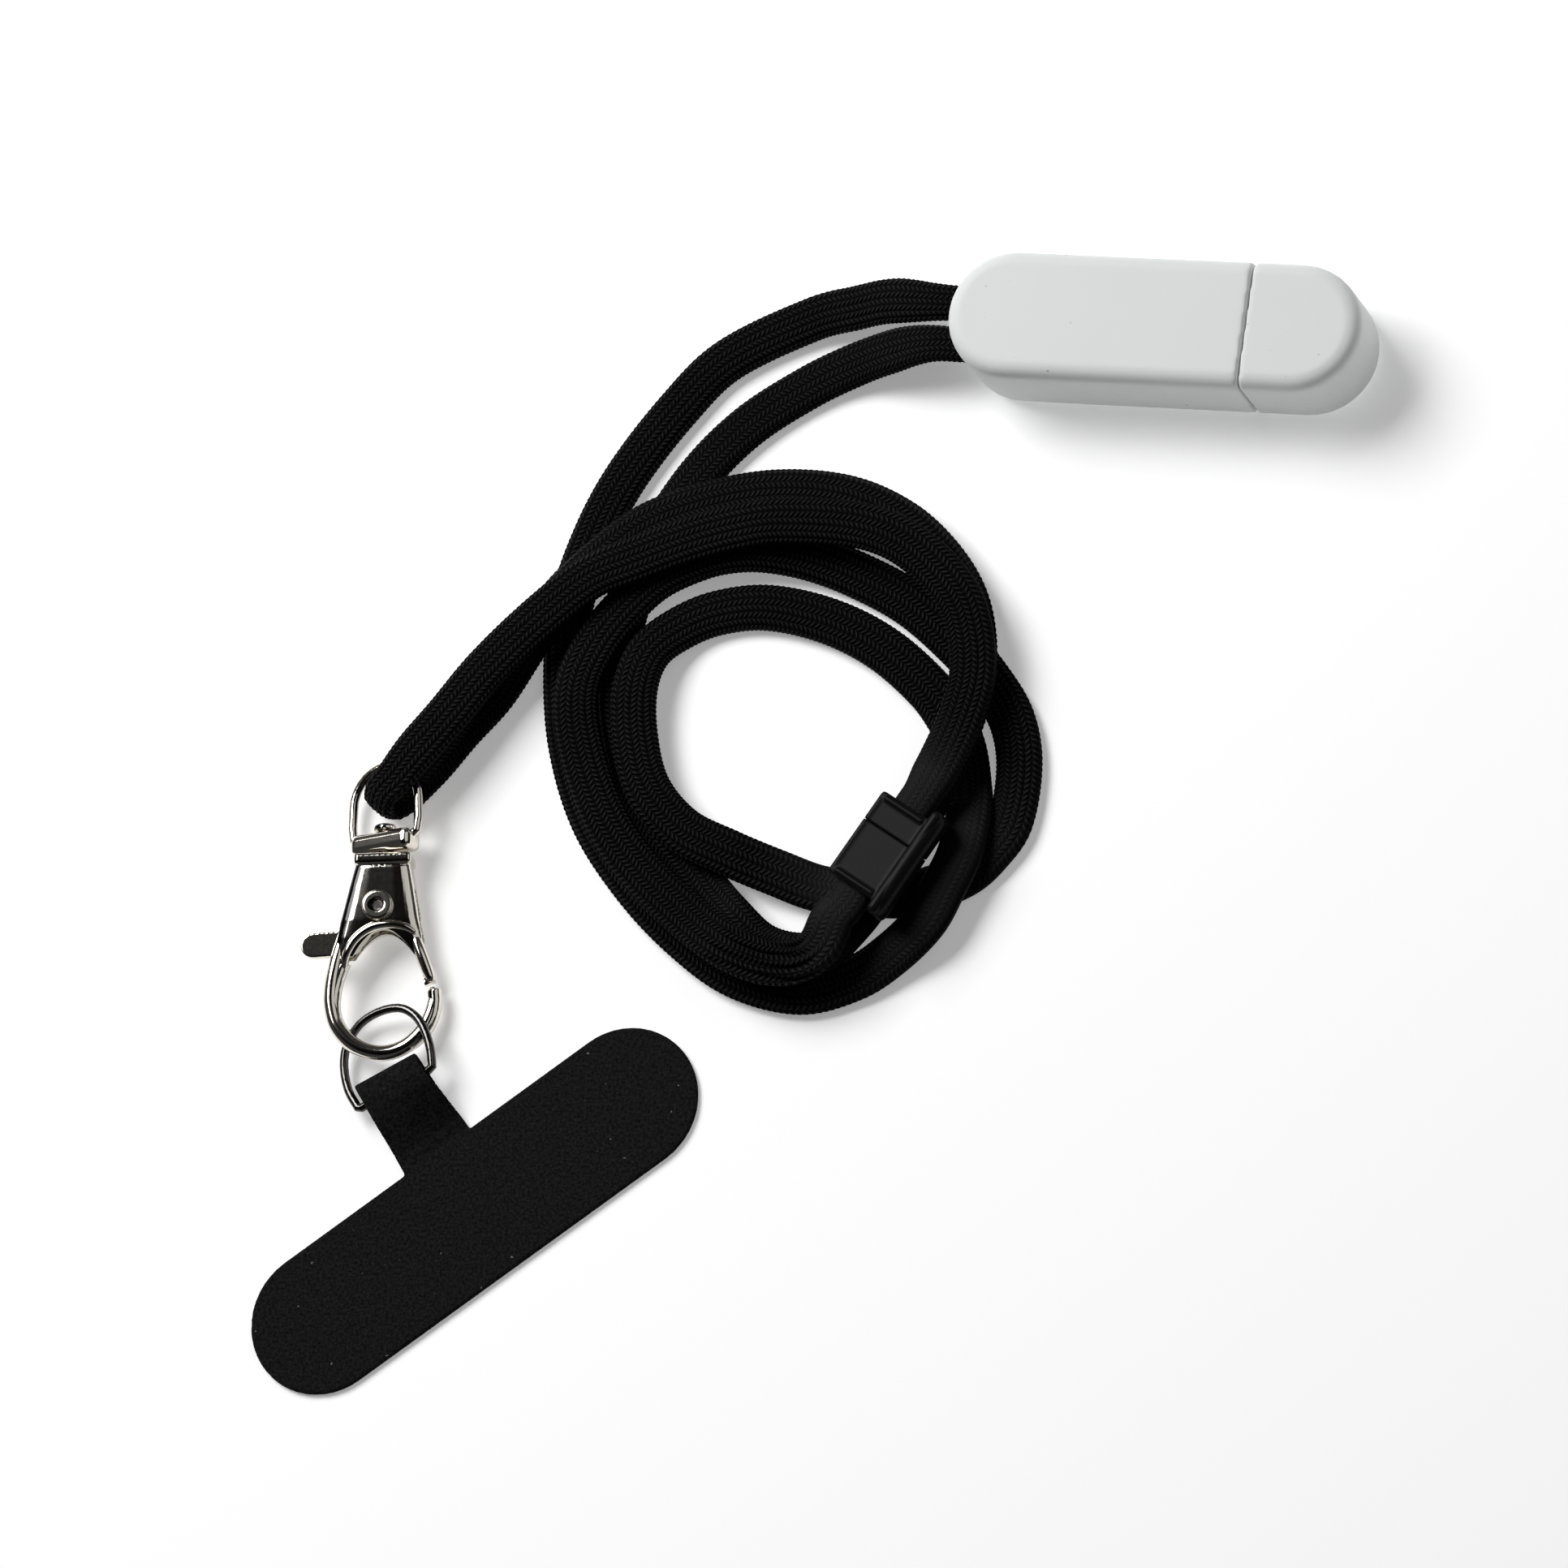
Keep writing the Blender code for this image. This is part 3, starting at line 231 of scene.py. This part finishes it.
# close points on a smooth curve through the route
def smoothLine(route, perSpan=40):
    points = np.array(route, float) * mm
    steps = np.sqrt(np.linalg.norm(np.diff(points, axis=0), axis=1))
    times = np.concatenate(([0], np.cumsum(steps)))
    low = np.maximum(np.arange(len(points)) - 1, 0)
    high = np.minimum(np.arange(len(points)) + 1, len(points) - 1)
    slopes = (points[high] - points[low]) / (times[high] - times[low])[:, None]
    made = []
    for index in range(len(points) - 1):
        span = times[index + 1] - times[index]
        u = (np.arange(perSpan) / perSpan)[:, None]
        made.append(
            (2 * u**3 - 3 * u**2 + 1) * points[index] + (u**3 - 2 * u**2 + u) * span * slopes[index]
            + (3 * u**2 - 2 * u**3) * points[index + 1] + (u**3 - u**2) * span * slopes[index + 1])
    made.append(points[-1:])
    return np.concatenate(made)


# the same line in even steps, and the distance along it to each point
def evenLine(line, step):
    lengths = np.concatenate(([0], np.cumsum(np.linalg.norm(np.diff(line, axis=0), axis=1))))
    count = int(round(lengths[-1] / step)) + 1
    at = np.linspace(0, lengths[-1], count)
    return np.stack([np.interp(at, lengths, line[:, axis]) for axis in range(3)], axis=1), at


# from 0 to 1 over the length, slow at both ends
def eased(distance, length):
    share = np.clip(distance / length, 0, 1)
    return share * share * (3 - 2 * share)


# a level width direction for each ring, carried over where the strap turns downward
def levelSides(along):
    sides = np.zeros_like(along)
    up = np.array((0, 0, 1.0))
    for index, direction in enumerate(along):
        level = np.cross(direction, up)
        size = np.linalg.norm(level)
        if index == 0 or size > 0.6:
            side = level / size
            if index and side @ sides[index - 1] < 0:
                side = -side
            if index:
                side = sides[index - 1] * 0.9 + side * 0.1 if size < 0.9 else side
        else:
            side = sides[index - 1]
        side = side - direction * (side @ direction)
        sides[index] = side / np.linalg.norm(side)
    return sides


# flat oval with most of its points on the broad upper face, and the arc length to each
def ovalSection():
    top, base = braid["topPoints"], braid["basePoints"]
    fine = np.linspace(0, 2 * np.pi, 4001)
    x = np.sign(np.cos(fine)) * np.abs(np.cos(fine)) ** braid["sideRound"] * braid["width"] / 2
    z = np.sign(np.sin(fine)) * np.abs(np.sin(fine)) ** braid["topRound"] * braid["thickness"] / 2
    arc = np.concatenate(([0], np.cumsum(np.hypot(np.diff(x), np.diff(z)))))
    start, finish = -braid["topReach"], math.pi + braid["topReach"]
    arcAt = lambda angle: np.interp(angle % (2 * math.pi), fine, arc)
    topLength = arcAt(finish) - arcAt(0) + arc[-1] - arcAt(start)
    baseLength = arc[-1] - topLength
    unrolled = np.concatenate((np.linspace(0, topLength, top, endpoint=False),
                               topLength + np.linspace(0, baseLength, base, endpoint=False)))
    both = (arcAt(start) + unrolled) % arc[-1]
    return np.interp(both, arc, x), np.interp(both, arc, z), unrolled, arc[-1]


# height of the knit from 0 to 1, along the strap and round it, both in metres
def stitchHeight(u, v):
    column = v / braid["column"]
    part = column - np.floor(column)
    lean = np.where(np.floor(column) % 2 == 0, 1.0, -1.0) * braid["slant"] * (part - 0.5) * 2
    phase = u / braid["stitch"] + lean
    rib = 1 - np.abs(2 * part - 1) ** 2.2    # rounded across, falling to the column's edges
    return rib * (0.45 + 0.55 * (0.5 + 0.5 * np.cos(2 * np.pi * phase)))


# widths gives the width at each ring, and turned is for the stretch that folds sharply before the buckle
def makeBraid(name, route, widths, turned):
    line, at = evenLine(smoothLine(route), braid["ringStep"])
    along = np.gradient(line, axis=0)
    along /= np.linalg.norm(along, axis=1)[:, None]
    sides = levelSides(along)
    ups = np.cross(sides, along)
    ups /= np.linalg.norm(ups, axis=1)[:, None]
    x, z, across, girth = ovalSection()
    width = widths(line, at) / braid["width"]
    count, ring = len(line), len(x)
    xs = x[None, :] * width[:, None]
    zs = np.repeat(z[None, :], count, axis=0)
    away = np.linalg.norm(line - np.array(braid["flatPlace"]), axis=1)
    least, flat = braid["knittedLeast"], braid["smoothHeight"]
    knitted = least + (1 - least) * eased(away - braid["flatFrom"], braid["flatTo"] - braid["flatFrom"])
    height = (stitchHeight(at[:, None], across[None, :]) - flat) * knitted[:, None]
    normalX = x / (braid["width"] / 2) ** 2
    normalZ = z / (braid["thickness"] / 2) ** 2
    size = np.hypot(normalX, normalZ)
    lift = height * braid["relief"]
    if turned:
        left = at[-1] - at
        bend = (eased(left - braid["wrinkleFrom"], braid["wrinkleStart"])
                * eased(braid["wrinkleTo"] - left, braid["wrinkleEnd"]))
        shift = braid["wander"] * np.sin(at[:, None] / braid["wanderLength"])
        turn = 2 * np.pi * (x[None, :] + shift) / braid["wrinkleWidth"]
        fold = np.minimum(np.sin(turn), braid["wrinkleTop"])
        lift = lift + bend[:, None] * fold * braid["wrinkle"] * (z > 0)[None, :]
    xs = xs + lift * (normalX / size)[None, :]
    zs = zs + lift * (normalZ / size)[None, :]
    points = line[:, None, :] + sides[:, None, :] * xs[:, :, None] + ups[:, None, :] * zs[:, :, None]
    index = np.arange(count * ring).reshape(count, ring)
    a, b = index[:-1], index[1:]
    quads = np.stack((a, np.roll(a, -1, 1), np.roll(b, -1, 1), b), axis=-1).reshape(-1, 4)
    mesh = bpy.data.meshes.new(name)
    faces = quads.tolist() + [index[0][::-1].tolist(), index[-1].tolist()]
    mesh.from_pydata(points.reshape(-1, 3).tolist(), [], faces)
    uv = mesh.uv_layers.new(name="braidUv")
    us = np.repeat(at[:, None], ring, axis=1).reshape(-1)
    vs = np.repeat(across[None, :], count, axis=0).reshape(-1)
    loops = np.zeros(len(mesh.loops), np.int32)
    mesh.loops.foreach_get("vertex_index", loops)
    coordinates = np.stack((us[loops], vs[loops]), axis=1)
    wrap = np.zeros(len(loops), bool)
    wrapQuads = np.arange(len(quads)).reshape(count - 1, ring)[:, -1]
    for corner in (1, 2):
        wrap[wrapQuads * 4 + corner] = True
    coordinates[wrap, 1] = girth
    uv.data.foreach_set("uv", (coordinates * uvScale).astype(np.float32).reshape(-1))
    mesh.shade_smooth()
    mesh.update()
    made = bpy.data.objects.new(name, mesh)
    bpy.context.scene.collection.objects.link(made)
    bm = bmesh.new()
    bm.from_mesh(mesh)
    bmesh.ops.recalc_face_normals(bm, faces=bm.faces)
    bm.to_mesh(mesh)
    bm.free()
    mesh.materials.append(braidMaterial)
    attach(made, "strap_set")
    return made, line, at


# the same stitches in bump, and in colour as painted highlights on the stitch tops and painted shade in the
# grooves, from the braid's length and girth in its UV map
def makeBraidMaterial():
    made, nodes, links, shader = newMaterial("knitted black braid")

    def calc(kind, *values, clamp=False):
        return mathNode(nodes, links, kind, *values, clamp=clamp)

    uv = nodes.new("ShaderNodeUVMap")
    uv.uv_map = "braidUv"
    split = nodes.new("ShaderNodeSeparateXYZ")
    links.new(uv.outputs[0], split.inputs[0])
    along = calc("DIVIDE", split.outputs[0], braid["stitch"] * uvScale)
    across = calc("DIVIDE", split.outputs[1], braid["column"] * uvScale)
    parity = calc("MODULO", calc("FLOOR", across), 2.0)
    sign = calc("SUBTRACT", 1.0, calc("MULTIPLY", parity, 2.0))
    centred = calc("SUBTRACT", calc("MULTIPLY", calc("FRACT", across), 2.0), 1.0)
    lean = calc("MULTIPLY", calc("MULTIPLY", sign, centred), braid["slant"])
    phase = calc("MULTIPLY", calc("ADD", along, lean), 2 * math.pi)
    wave = calc("MULTIPLY_ADD", calc("COSINE", phase), 0.5, 0.5)
    rib = calc("SUBTRACT", 1.0, calc("POWER", calc("ABSOLUTE", centred), 2.6))
    stitch = calc("MULTIPLY", rib, wave)
    fibre = noiseNode(nodes, links, braid["fibreGrain"], 2.0, 0.6)
    height = calc("ADD", stitch, calc("MULTIPLY", fibre, braid["fibreShare"]))
    away = vectorNode(nodes, links, "DISTANCE", objectCoords(nodes), braid["flatPlace"])
    span = (braid["flatFrom"], braid["flatTo"])
    knitted = mapRange(nodes, links, away, span, (braid["knittedLeast"], 1.0))
    bumpNode(nodes, links, shader, calc("MULTIPLY", height, knitted), braid["bump"])
    patch = noiseNode(nodes, links, braid["patchGrain"], 2.0)
    # painted highlight and shade: the colour runs from dark in the grooves to light on the stitch tops,
    # varied by random patches of tone
    tone = calc("MULTIPLY", stitch, calc("ADD", patch, 0.5), clamp=True)
    # painted shade: the colour darkens as the surface turns away from the side the key light falls from
    paintedShade = paintedLightByFacing(nodes, links, braid["lightSide"], braid["paintedShadeSpan"], braid["paintedShadeTone"])
    even = nodes.new("ShaderNodeMix")
    even.inputs[2].default_value = braid["smoothTone"]
    links.new(knitted, even.inputs[0])
    links.new(tone, even.inputs[3])
    tone = calc("MULTIPLY", even.outputs[0], paintedShade)
    links.new(colourMix(nodes, links, tone, braid["dark"], braid["light"]), shader.inputs["Base Color"])
    shader.inputs["Roughness"].default_value = braid["roughness"]
    shader.inputs["Specular IOR Level"].default_value = braid["shine"]
    return made


braidMaterial = makeBraidMaterial()


def grown(narrow, share):
    return narrow + (braid["width"] - narrow) * share


def endWidths(fromPort, fromPocket):
    port = eased(fromPort - braid["portDepth"], braid["narrowing"])
    pocket = eased(fromPocket - braid["mouth"], braid["pocketEase"])
    return np.minimum(grown(braid["portWidth"], port), grown(braid["pocketWidth"], pocket))


def longWidths(line, at):
    return endWidths(at, at[-1] - at)


def shortWidths(line, at):
    fold = np.array(shortRoute[foldPoint]) * mm
    near = eased(np.linalg.norm(line - fold, axis=1), braid["foldEase"])
    return np.minimum(endWidths(at[-1] - at, at), grown(braid["foldWidth"], near))


longPiece, longLine, longAt = makeBraid("braid_long", longRoute, longWidths, True)
shortPiece, shortLine, shortAt = makeBraid("braid_short", shortRoute, shortWidths, False)
for piece, line, at, node in (
    (longPiece, longLine, longAt, "strap_long"), (shortPiece, shortLine, shortAt, "strap_short"),
):
    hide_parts(node)
print("braids made", round(longAt[-1], 4), round(shortAt[-1], 4))


# Hard finishes: metals, by the name of each material
nickelColour = (0.80, 0.755, 0.68)
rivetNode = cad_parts["hook_rivet"]
rivetCorners = [rivetNode.matrix_world @ Vector(corner) for corner in rivetNode.bound_box]
metals = {
    "polished nickel": {"colour": nickelColour, "roughness": 0.09, "scratch": 0.05},
    # painted reflection: the hook body's faces turned up and to the left are coloured near black, for a
    # dark reflection
    "polished nickel with painted dark reflection on left flank": {
        "colour": nickelColour, "roughness": 0.08, "scratch": 0.04, "paintedReflectionColour": (0.03, 0.03, 0.03),
        "paintedReflectionSide": (-0.80, 0.0, 0.60), "paintedReflectionSpan": (0.52, 0.66)},
    # painted shade: a dark disc at the rivet's centre, for the shade inside its hole
    "polished nickel with painted hole shade": {
        "colour": nickelColour, "roughness": 0.12, "scratch": 0.04, "paintedHoleShadeColour": (0.012, 0.011, 0.010),
        "paintedHoleShadePlace": sum(rivetCorners, Vector()) / 8, "paintedHoleShadeRadius": 1.05 * mm},
    "black nickel": {"colour": (0.10, 0.096, 0.092), "roughness": 0.14, "scratch": 0.06},
}

# clouds in tone and bump, and finer ones in roughness
metalLook = {"cloudGrain": 180, "fineGrain": 2600, "cloudTone": 0.88, "bump": 0.00006, "bumpStrength": 0.5}


def metalMaterial(name):
    values, look = metals[name], metalLook
    made, nodes, links, shader = newMaterial(name)
    cloud = noiseNode(nodes, links, look["cloudGrain"])
    fine = noiseNode(nodes, links, look["fineGrain"], 2.0)
    dim = tuple(share * look["cloudTone"] for share in values["colour"])
    tone = colourMix(nodes, links, cloud, dim, values["colour"])
    # painted dark reflection on the faces turned toward the given side
    if "paintedReflectionSide" in values:
        paintedReflection = paintedLightByFacing(nodes, links, values["paintedReflectionSide"], values["paintedReflectionSpan"], (0.0, 1.0))
        tone = colourMix(nodes, links, paintedReflection, tone, values["paintedReflectionColour"])
    # painted shade in the rivet's hole: a dark disc round its centre, seen from above
    if "paintedHoleShadePlace" in values:
        level = vectorNode(nodes, links, "MULTIPLY", objectCoords(nodes), (1, 1, 0))
        away = vectorNode(nodes, links, "DISTANCE", level, (*values["paintedHoleShadePlace"][:2], 0))
        holeShadeMask = mathNode(nodes, links, "LESS_THAN", away, values["paintedHoleShadeRadius"])
        tone = colourMix(nodes, links, holeShadeMask, tone, values["paintedHoleShadeColour"])
    links.new(tone, shader.inputs["Base Color"])
    rough = mathNode(nodes, links, "MULTIPLY_ADD", fine, values["scratch"], values["roughness"])
    links.new(rough, shader.inputs["Roughness"])
    shader.inputs["Metallic"].default_value = 1.0
    bumpNode(nodes, links, shader, cloud, look["bump"], look["bumpStrength"])
    return made


# Hard finishes: plastics and the card's coated cloth, with rare specks of lint
plastics = {
    "white matte plastic": {
        "dark": (0.775, 0.80, 0.79), "light": (0.81, 0.835, 0.825), "roughness": 0.5, "shine": 0.3,
        "grain": 5200, "bump": 0.00002, "lint": (0.50, 0.49, 0.47), "lintAbove": 0.885},
    "satin black plastic": {
        "dark": (0.0028, 0.0028, 0.0032), "light": (0.0050, 0.0050, 0.0055), "roughness": 0.42,
        "shine": 0.09, "grain": 4200, "bump": 0.00003},
    "coated black cloth": {
        "dark": (0.0020, 0.0020, 0.0022), "light": (0.0135, 0.0135, 0.0140), "roughness": 0.75,
        "shine": 0.05, "grain": 2000, "bump": 0.00022, "weave": (3.4, -1.2),
        "lint": (0.13, 0.13, 0.13), "lintAbove": 0.89},
}

plasticLook = {"cloudGrain": 45, "lintGrain": 1500, "bumpStrength": 0.6}


def plasticMaterial(name):
    values, look = plastics[name], plasticLook
    made, nodes, links, shader = newMaterial(name)
    fine = noiseNode(nodes, links, values["grain"], 3.0, 0.6)
    if "weave" in values:
        share = mathNode(nodes, links, "MULTIPLY_ADD", fine, *values["weave"], clamp=True)
    else:
        share = noiseNode(nodes, links, look["cloudGrain"], 2.0)
    colour = colourMix(nodes, links, share, values["dark"], values["light"])
    if "lint" in values:
        speck = noiseNode(nodes, links, look["lintGrain"], 0.0)
        spot = mathNode(nodes, links, "GREATER_THAN", speck, values["lintAbove"])
        colour = colourMix(nodes, links, spot, colour, values["lint"])
    links.new(colour, shader.inputs["Base Color"])
    shader.inputs["Roughness"].default_value = values["roughness"]
    shader.inputs["Specular IOR Level"].default_value = values["shine"]
    bumpNode(nodes, links, shader, fine, values["bump"], look["bumpStrength"])
    return made


nickel, paintedReflectionNickel, paintedHoleShadeNickel, blackNickel = [metalMaterial(name) for name in metals]
whitePlastic, blackPlastic, cardCloth = [plasticMaterial(name) for name in plastics]
print("finishes made")

# The seams between two pieces: a point on the axis across each, and the axis' turn
seams = {
    "buckle": {"place": (14.6 * mm, -6.7 * mm, 8.9 * mm), "turn": math.radians(55.8)},
    "housing": {"place": (58.6 * mm, 79.7 * mm, 8.0 * mm), "turn": math.radians(-6.2)},
}

# Softened pieces: each is worked from its node's form, as a grid of cubes of so many millimetres that is
# then smoothed in rounds, and moved outward by swell millimetres
softened = {
    "housing_body": {"body": "strap_set", "finish": whitePlastic, "grid": 0.40, "rounds": 8,
                     "seam": "housing", "reach": 0.20},
    "housing_cap": {"body": "cap", "finish": whitePlastic, "grid": 0.40, "rounds": 8},
    "buckle_socket": {"body": "strap_set", "finish": blackPlastic, "grid": 0.17, "rounds": 16,
                      "seam": "buckle", "reach": 0.26},
    "buckle_plug": {"body": "strap_set", "finish": blackPlastic, "grid": 0.17, "rounds": 16},
    "swivel_eye": {"body": "strap_set", "finish": nickel, "grid": 0.13, "rounds": 4},
    "hook_body": {"body": "hook", "finish": paintedReflectionNickel, "grid": 0.16, "rounds": 5},
    "hook_rivet": {"body": "hook", "finish": paintedHoleShadeNickel, "grid": 0.14, "rounds": 2},
    "hook_trigger": {"body": "trigger", "finish": nickel, "grid": 0.14, "rounds": 4},
    "d_ring": {"body": "hook", "finish": blackNickel, "grid": 0.12, "rounds": 2, "swell": 0.06},
    "card": {"body": "hook", "finish": cardCloth, "grid": 0.20, "rounds": 12, "adapt": 0.06, "swell": 0.03},
}
seamDepth = 0.9 * mm    # how far back from its face a seam's side is stretched


# stretches the face that meets its neighbour outward, so that only a shallow groove shows
def closeSeam(mesh, seam, reach):
    axis = Vector((math.cos(seam["turn"]), math.sin(seam["turn"]), 0))
    places = [(vertex.co - Vector(seam["place"])).dot(axis) for vertex in mesh.vertices]
    face = max(places)
    for vertex, place in zip(mesh.vertices, places):
        if face - place < seamDepth:
            vertex.co += axis * reach * min(1.0, 2 - 2 * (face - place) / seamDepth)


def softPiece(node, values):
    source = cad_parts[node]
    working = bpy.data.objects.new("working_form", source.data.copy())
    working.matrix_world = source.matrix_world
    bpy.context.scene.collection.objects.link(working)
    grid = working.modifiers.new("grid", "REMESH")
    grid.mode = "VOXEL"
    grid.voxel_size = values["grid"] * mm
    grid.adaptivity = values.get("adapt", 0.0) * mm
    smooth = working.modifiers.new("rounds", "SMOOTH")
    smooth.factor = 0.5
    smooth.iterations = values["rounds"]
    shown = working.evaluated_get(bpy.context.evaluated_depsgraph_get())
    mesh = bpy.data.meshes.new_from_object(shown)
    bpy.data.objects.remove(working)
    mesh.transform(source.matrix_world)
    if "reach" in values:
        closeSeam(mesh, seams[values["seam"]], values["reach"] * mm)
    if "swell" in values:
        normals = [vertex.normal.copy() for vertex in mesh.vertices]
        for vertex, normal in zip(mesh.vertices, normals):
            vertex.co += normal * values["swell"] * mm
    mesh.shade_smooth()
    mesh.materials.clear()
    mesh.materials.append(values["finish"])
    made = bpy.data.objects.new("soft_" + node, mesh)
    bpy.context.scene.collection.objects.link(made)
    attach(made, values["body"])
    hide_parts(node)


for node, values in softened.items():
    softPiece(node, values)
print("softened pieces made")

# Trim: rounded wires over the hook's arch, loop and gate in the hook's own millimetres, and a rounded bar
# over the buckle's rail in the part's, each with a radius at every point
hookFrame = (Matrix.Translation((-73.5 * mm, -2.7 * mm, 4.2 * mm))
             @ Matrix.Rotation(math.radians(2.6), 4, "Z") @ Matrix.Rotation(math.radians(10), 4, "Y"))
trim = {
    "arch": {"line": [(-6.5, -19.2, 0.7), (-6.1, -17.3, 1.5), (-4.5, -14.7, 1.9), (-1.9, -12.9, 2.1),
                      (1.2, -12.4, 2.2), (3.8, -12.9, 2.1), (5.4, -13.8, 1.9)],
             "radii": [0.45, 0.70, 0.80, 0.82, 0.80, 0.72, 0.5], "body": "hook"},
    "bow": {"line": [(-6.6, -13.2, 0.5), (-7.6, -17.0, 0.5), (-8.35, -20.4, 0.3), (-8.7, -23.2, 0.1),
                     (-8.6, -25.8, 0.0), (-7.7, -29.0, 0.0),
                     (-5.5, -31.8, 0.0), (-2.7, -33.4, 0.0), (0.4, -33.9, 0.0), (3.6, -33.0, 0.0),
                     (6.2, -30.8, 0.0), (7.8, -28.0, 0.0), (8.5, -25.4, 0.0), (8.35, -23.6, 0.0)],
            "radii": [0.9, 1.1, 1.25, 1.32, 1.36, 1.38, 1.38, 1.36, 1.34, 1.32, 1.3, 1.25, 1.15, 0.85],
            "body": "hook"},
    "gate": {"line": [(5.0, -13.4, 0.7), (5.7, -15.4, 0.9), (6.6, -17.9, 0.9), (7.45, -20.2, 0.7),
                      (8.0, -21.6, 0.5)],
             "radii": [0.7, 1.0, 1.05, 1.0, 0.75], "body": "trigger"},
    "rail": {"line": [(14.3, -16.75, 9.9), (15.4, -15.2, 10.25), (19.1, -9.7, 10.4), (22.8, -4.2, 10.25),
                      (23.85, -2.7, 9.9)],
             "radii": [1.35, 1.55, 1.6, 1.55, 1.35], "body": "strap_set"},
}

# each tip is closed by rings, whose place and size are in radii
wire = {"sides": 24, "steps": 8, "tips": ((0.85, 0.45), (0.5, 0.85))}


def trimWire(name, values):
    onHook = values["body"] != "strap_set"
    route = [Vector(point) * mm for point in values["line"]]
    line, radii = [], []
    for index in range(len(route) - 1):
        before = route[max(index - 1, 0)]
        after = route[min(index + 2, len(route) - 1)]
        for step in range(wire["steps"]):
            u = step / wire["steps"]
            start, finish = route[index], route[index + 1]
            bend0, bend1 = (finish - before) * 0.5, (after - start) * 0.5
            line.append((2 * u**3 - 3 * u**2 + 1) * start + (u**3 - 2 * u**2 + u) * bend0
                        + (3 * u**2 - 2 * u**3) * finish + (u**3 - u**2) * bend1)
            radii.append((values["radii"][index] * (1 - u) + values["radii"][index + 1] * u) * mm)
    line.append(route[-1])
    radii.append(values["radii"][-1] * mm)
    points, faces, sides = [], [], wire["sides"]
    last = len(line) - 1
    rings = []
    for index, point in enumerate(line):
        along = (line[min(index + 1, last)] - line[max(index - 1, 0)]).normalized()
        if index == 0:
            rings += [(point - along * radii[0] * past, along, radii[0] * share)
                      for past, share in wire["tips"]]
        rings.append((point, along, radii[index]))
        if index == last:
            rings += [(point + along * radii[last] * past, along, radii[last] * share)
                      for past, share in reversed(wire["tips"])]
    for point, along, radius in rings:
        side = along.cross(Vector((0, 0, 1))).normalized()
        high = side.cross(along)
        for number in range(sides):
            angle = 2 * math.pi * number / sides
            place = point + side * radius * math.cos(angle) + high * radius * math.sin(angle)
            points.append(hookFrame @ place if onHook else place)
    for index in range(len(rings) - 1):
        for number in range(sides):
            a, b = index * sides + number, index * sides + (number + 1) % sides
            faces.append((a, b, b + sides, a + sides))
    faces.append(tuple(reversed(range(sides))))
    faces.append(tuple(range((len(rings) - 1) * sides, len(rings) * sides)))
    pieceName = ("hook_" if onHook else "buckle_") + name
    mesh = bpy.data.meshes.new(pieceName)
    mesh.from_pydata([tuple(point) for point in points], [], faces)
    bm = bmesh.new()
    bm.from_mesh(mesh)
    bmesh.ops.recalc_face_normals(bm, faces=bm.faces)
    bm.to_mesh(mesh)
    bm.free()
    mesh.shade_smooth()
    mesh.materials.append(nickel if onHook else blackPlastic)
    made = bpy.data.objects.new(pieceName, mesh)
    bpy.context.scene.collection.objects.link(made)
    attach(made, values["body"])


for name, values in trim.items():
    trimWire(name, values)
print("trim made")

# Floor and light: a dim ceiling over brighter sides, one strong soft key from the upper left
light = {
    "skyLow": 0.60, "skyHigh": 0.86, "sideStrength": 0.92, "topStrength": 0.03, "paperGlow": 0.30,
    "keyPower": 17, "keySize": 0.75, "keyPlace": (-0.60, 0.58, 1.0),
    "fillPower": 1.5, "fillSize": 0.9, "fillPlace": (0.8, 0.3, 0.9),
    "floorReach": 3.0, "floorDrop": 0.0001, "paper": (0.92, 0.92, 0.92, 1),
}


def makeStage():
    reach = light["floorReach"]
    mesh = bpy.data.meshes.new("floor")
    corners = [(-reach, -reach, 0), (reach, -reach, 0), (reach, reach, 0), (-reach, reach, 0)]
    mesh.from_pydata(corners, [], [(0, 1, 2, 3)])
    floor = bpy.data.objects.new("floor", mesh)
    floor.location.z = -light["floorDrop"]
    bpy.context.scene.collection.objects.link(floor)
    made, nodes, links, shader = newMaterial("paper white")
    shader.inputs["Base Color"].default_value = light["paper"]
    shader.inputs["Roughness"].default_value = 0.9
    shader.inputs["Specular IOR Level"].default_value = 0.1
    shader.inputs["Emission Color"].default_value = (1, 1, 1, 1)
    shader.inputs["Emission Strength"].default_value = light["paperGlow"]
    mesh.materials.append(made)
    world = bpy.data.worlds.new("studio")
    world.use_nodes = True
    nodes, links = world.node_tree.nodes, world.node_tree.links
    shade = nodes["Background"]
    split = nodes.new("ShaderNodeSeparateXYZ")
    links.new(nodes.new("ShaderNodeTexCoord").outputs["Generated"], split.inputs[0])
    ramp = mapRange(nodes, links, split.outputs[2], (light["skyLow"], light["skyHigh"]),
                    (light["sideStrength"], light["topStrength"]), smooth=True)
    links.new(ramp, shade.inputs[1])
    bpy.context.scene.world = world
    bpy.context.scene.view_settings.view_transform = "Standard"


def softLight(name, place, size, power):
    data = bpy.data.lights.new(name, "AREA")
    data.shape = "SQUARE"
    data.size = size
    data.energy = power
    made = bpy.data.objects.new(name, data)
    made.location = place
    made.rotation_euler = (-Vector(place)).to_track_quat("-Z", "Y").to_euler()
    bpy.context.scene.collection.objects.link(made)


makeStage()
softLight("keyLight", light["keyPlace"], light["keySize"], light["keyPower"])
softLight("fillLight", light["fillPlace"], light["fillSize"], light["fillPower"])
print("stage set")
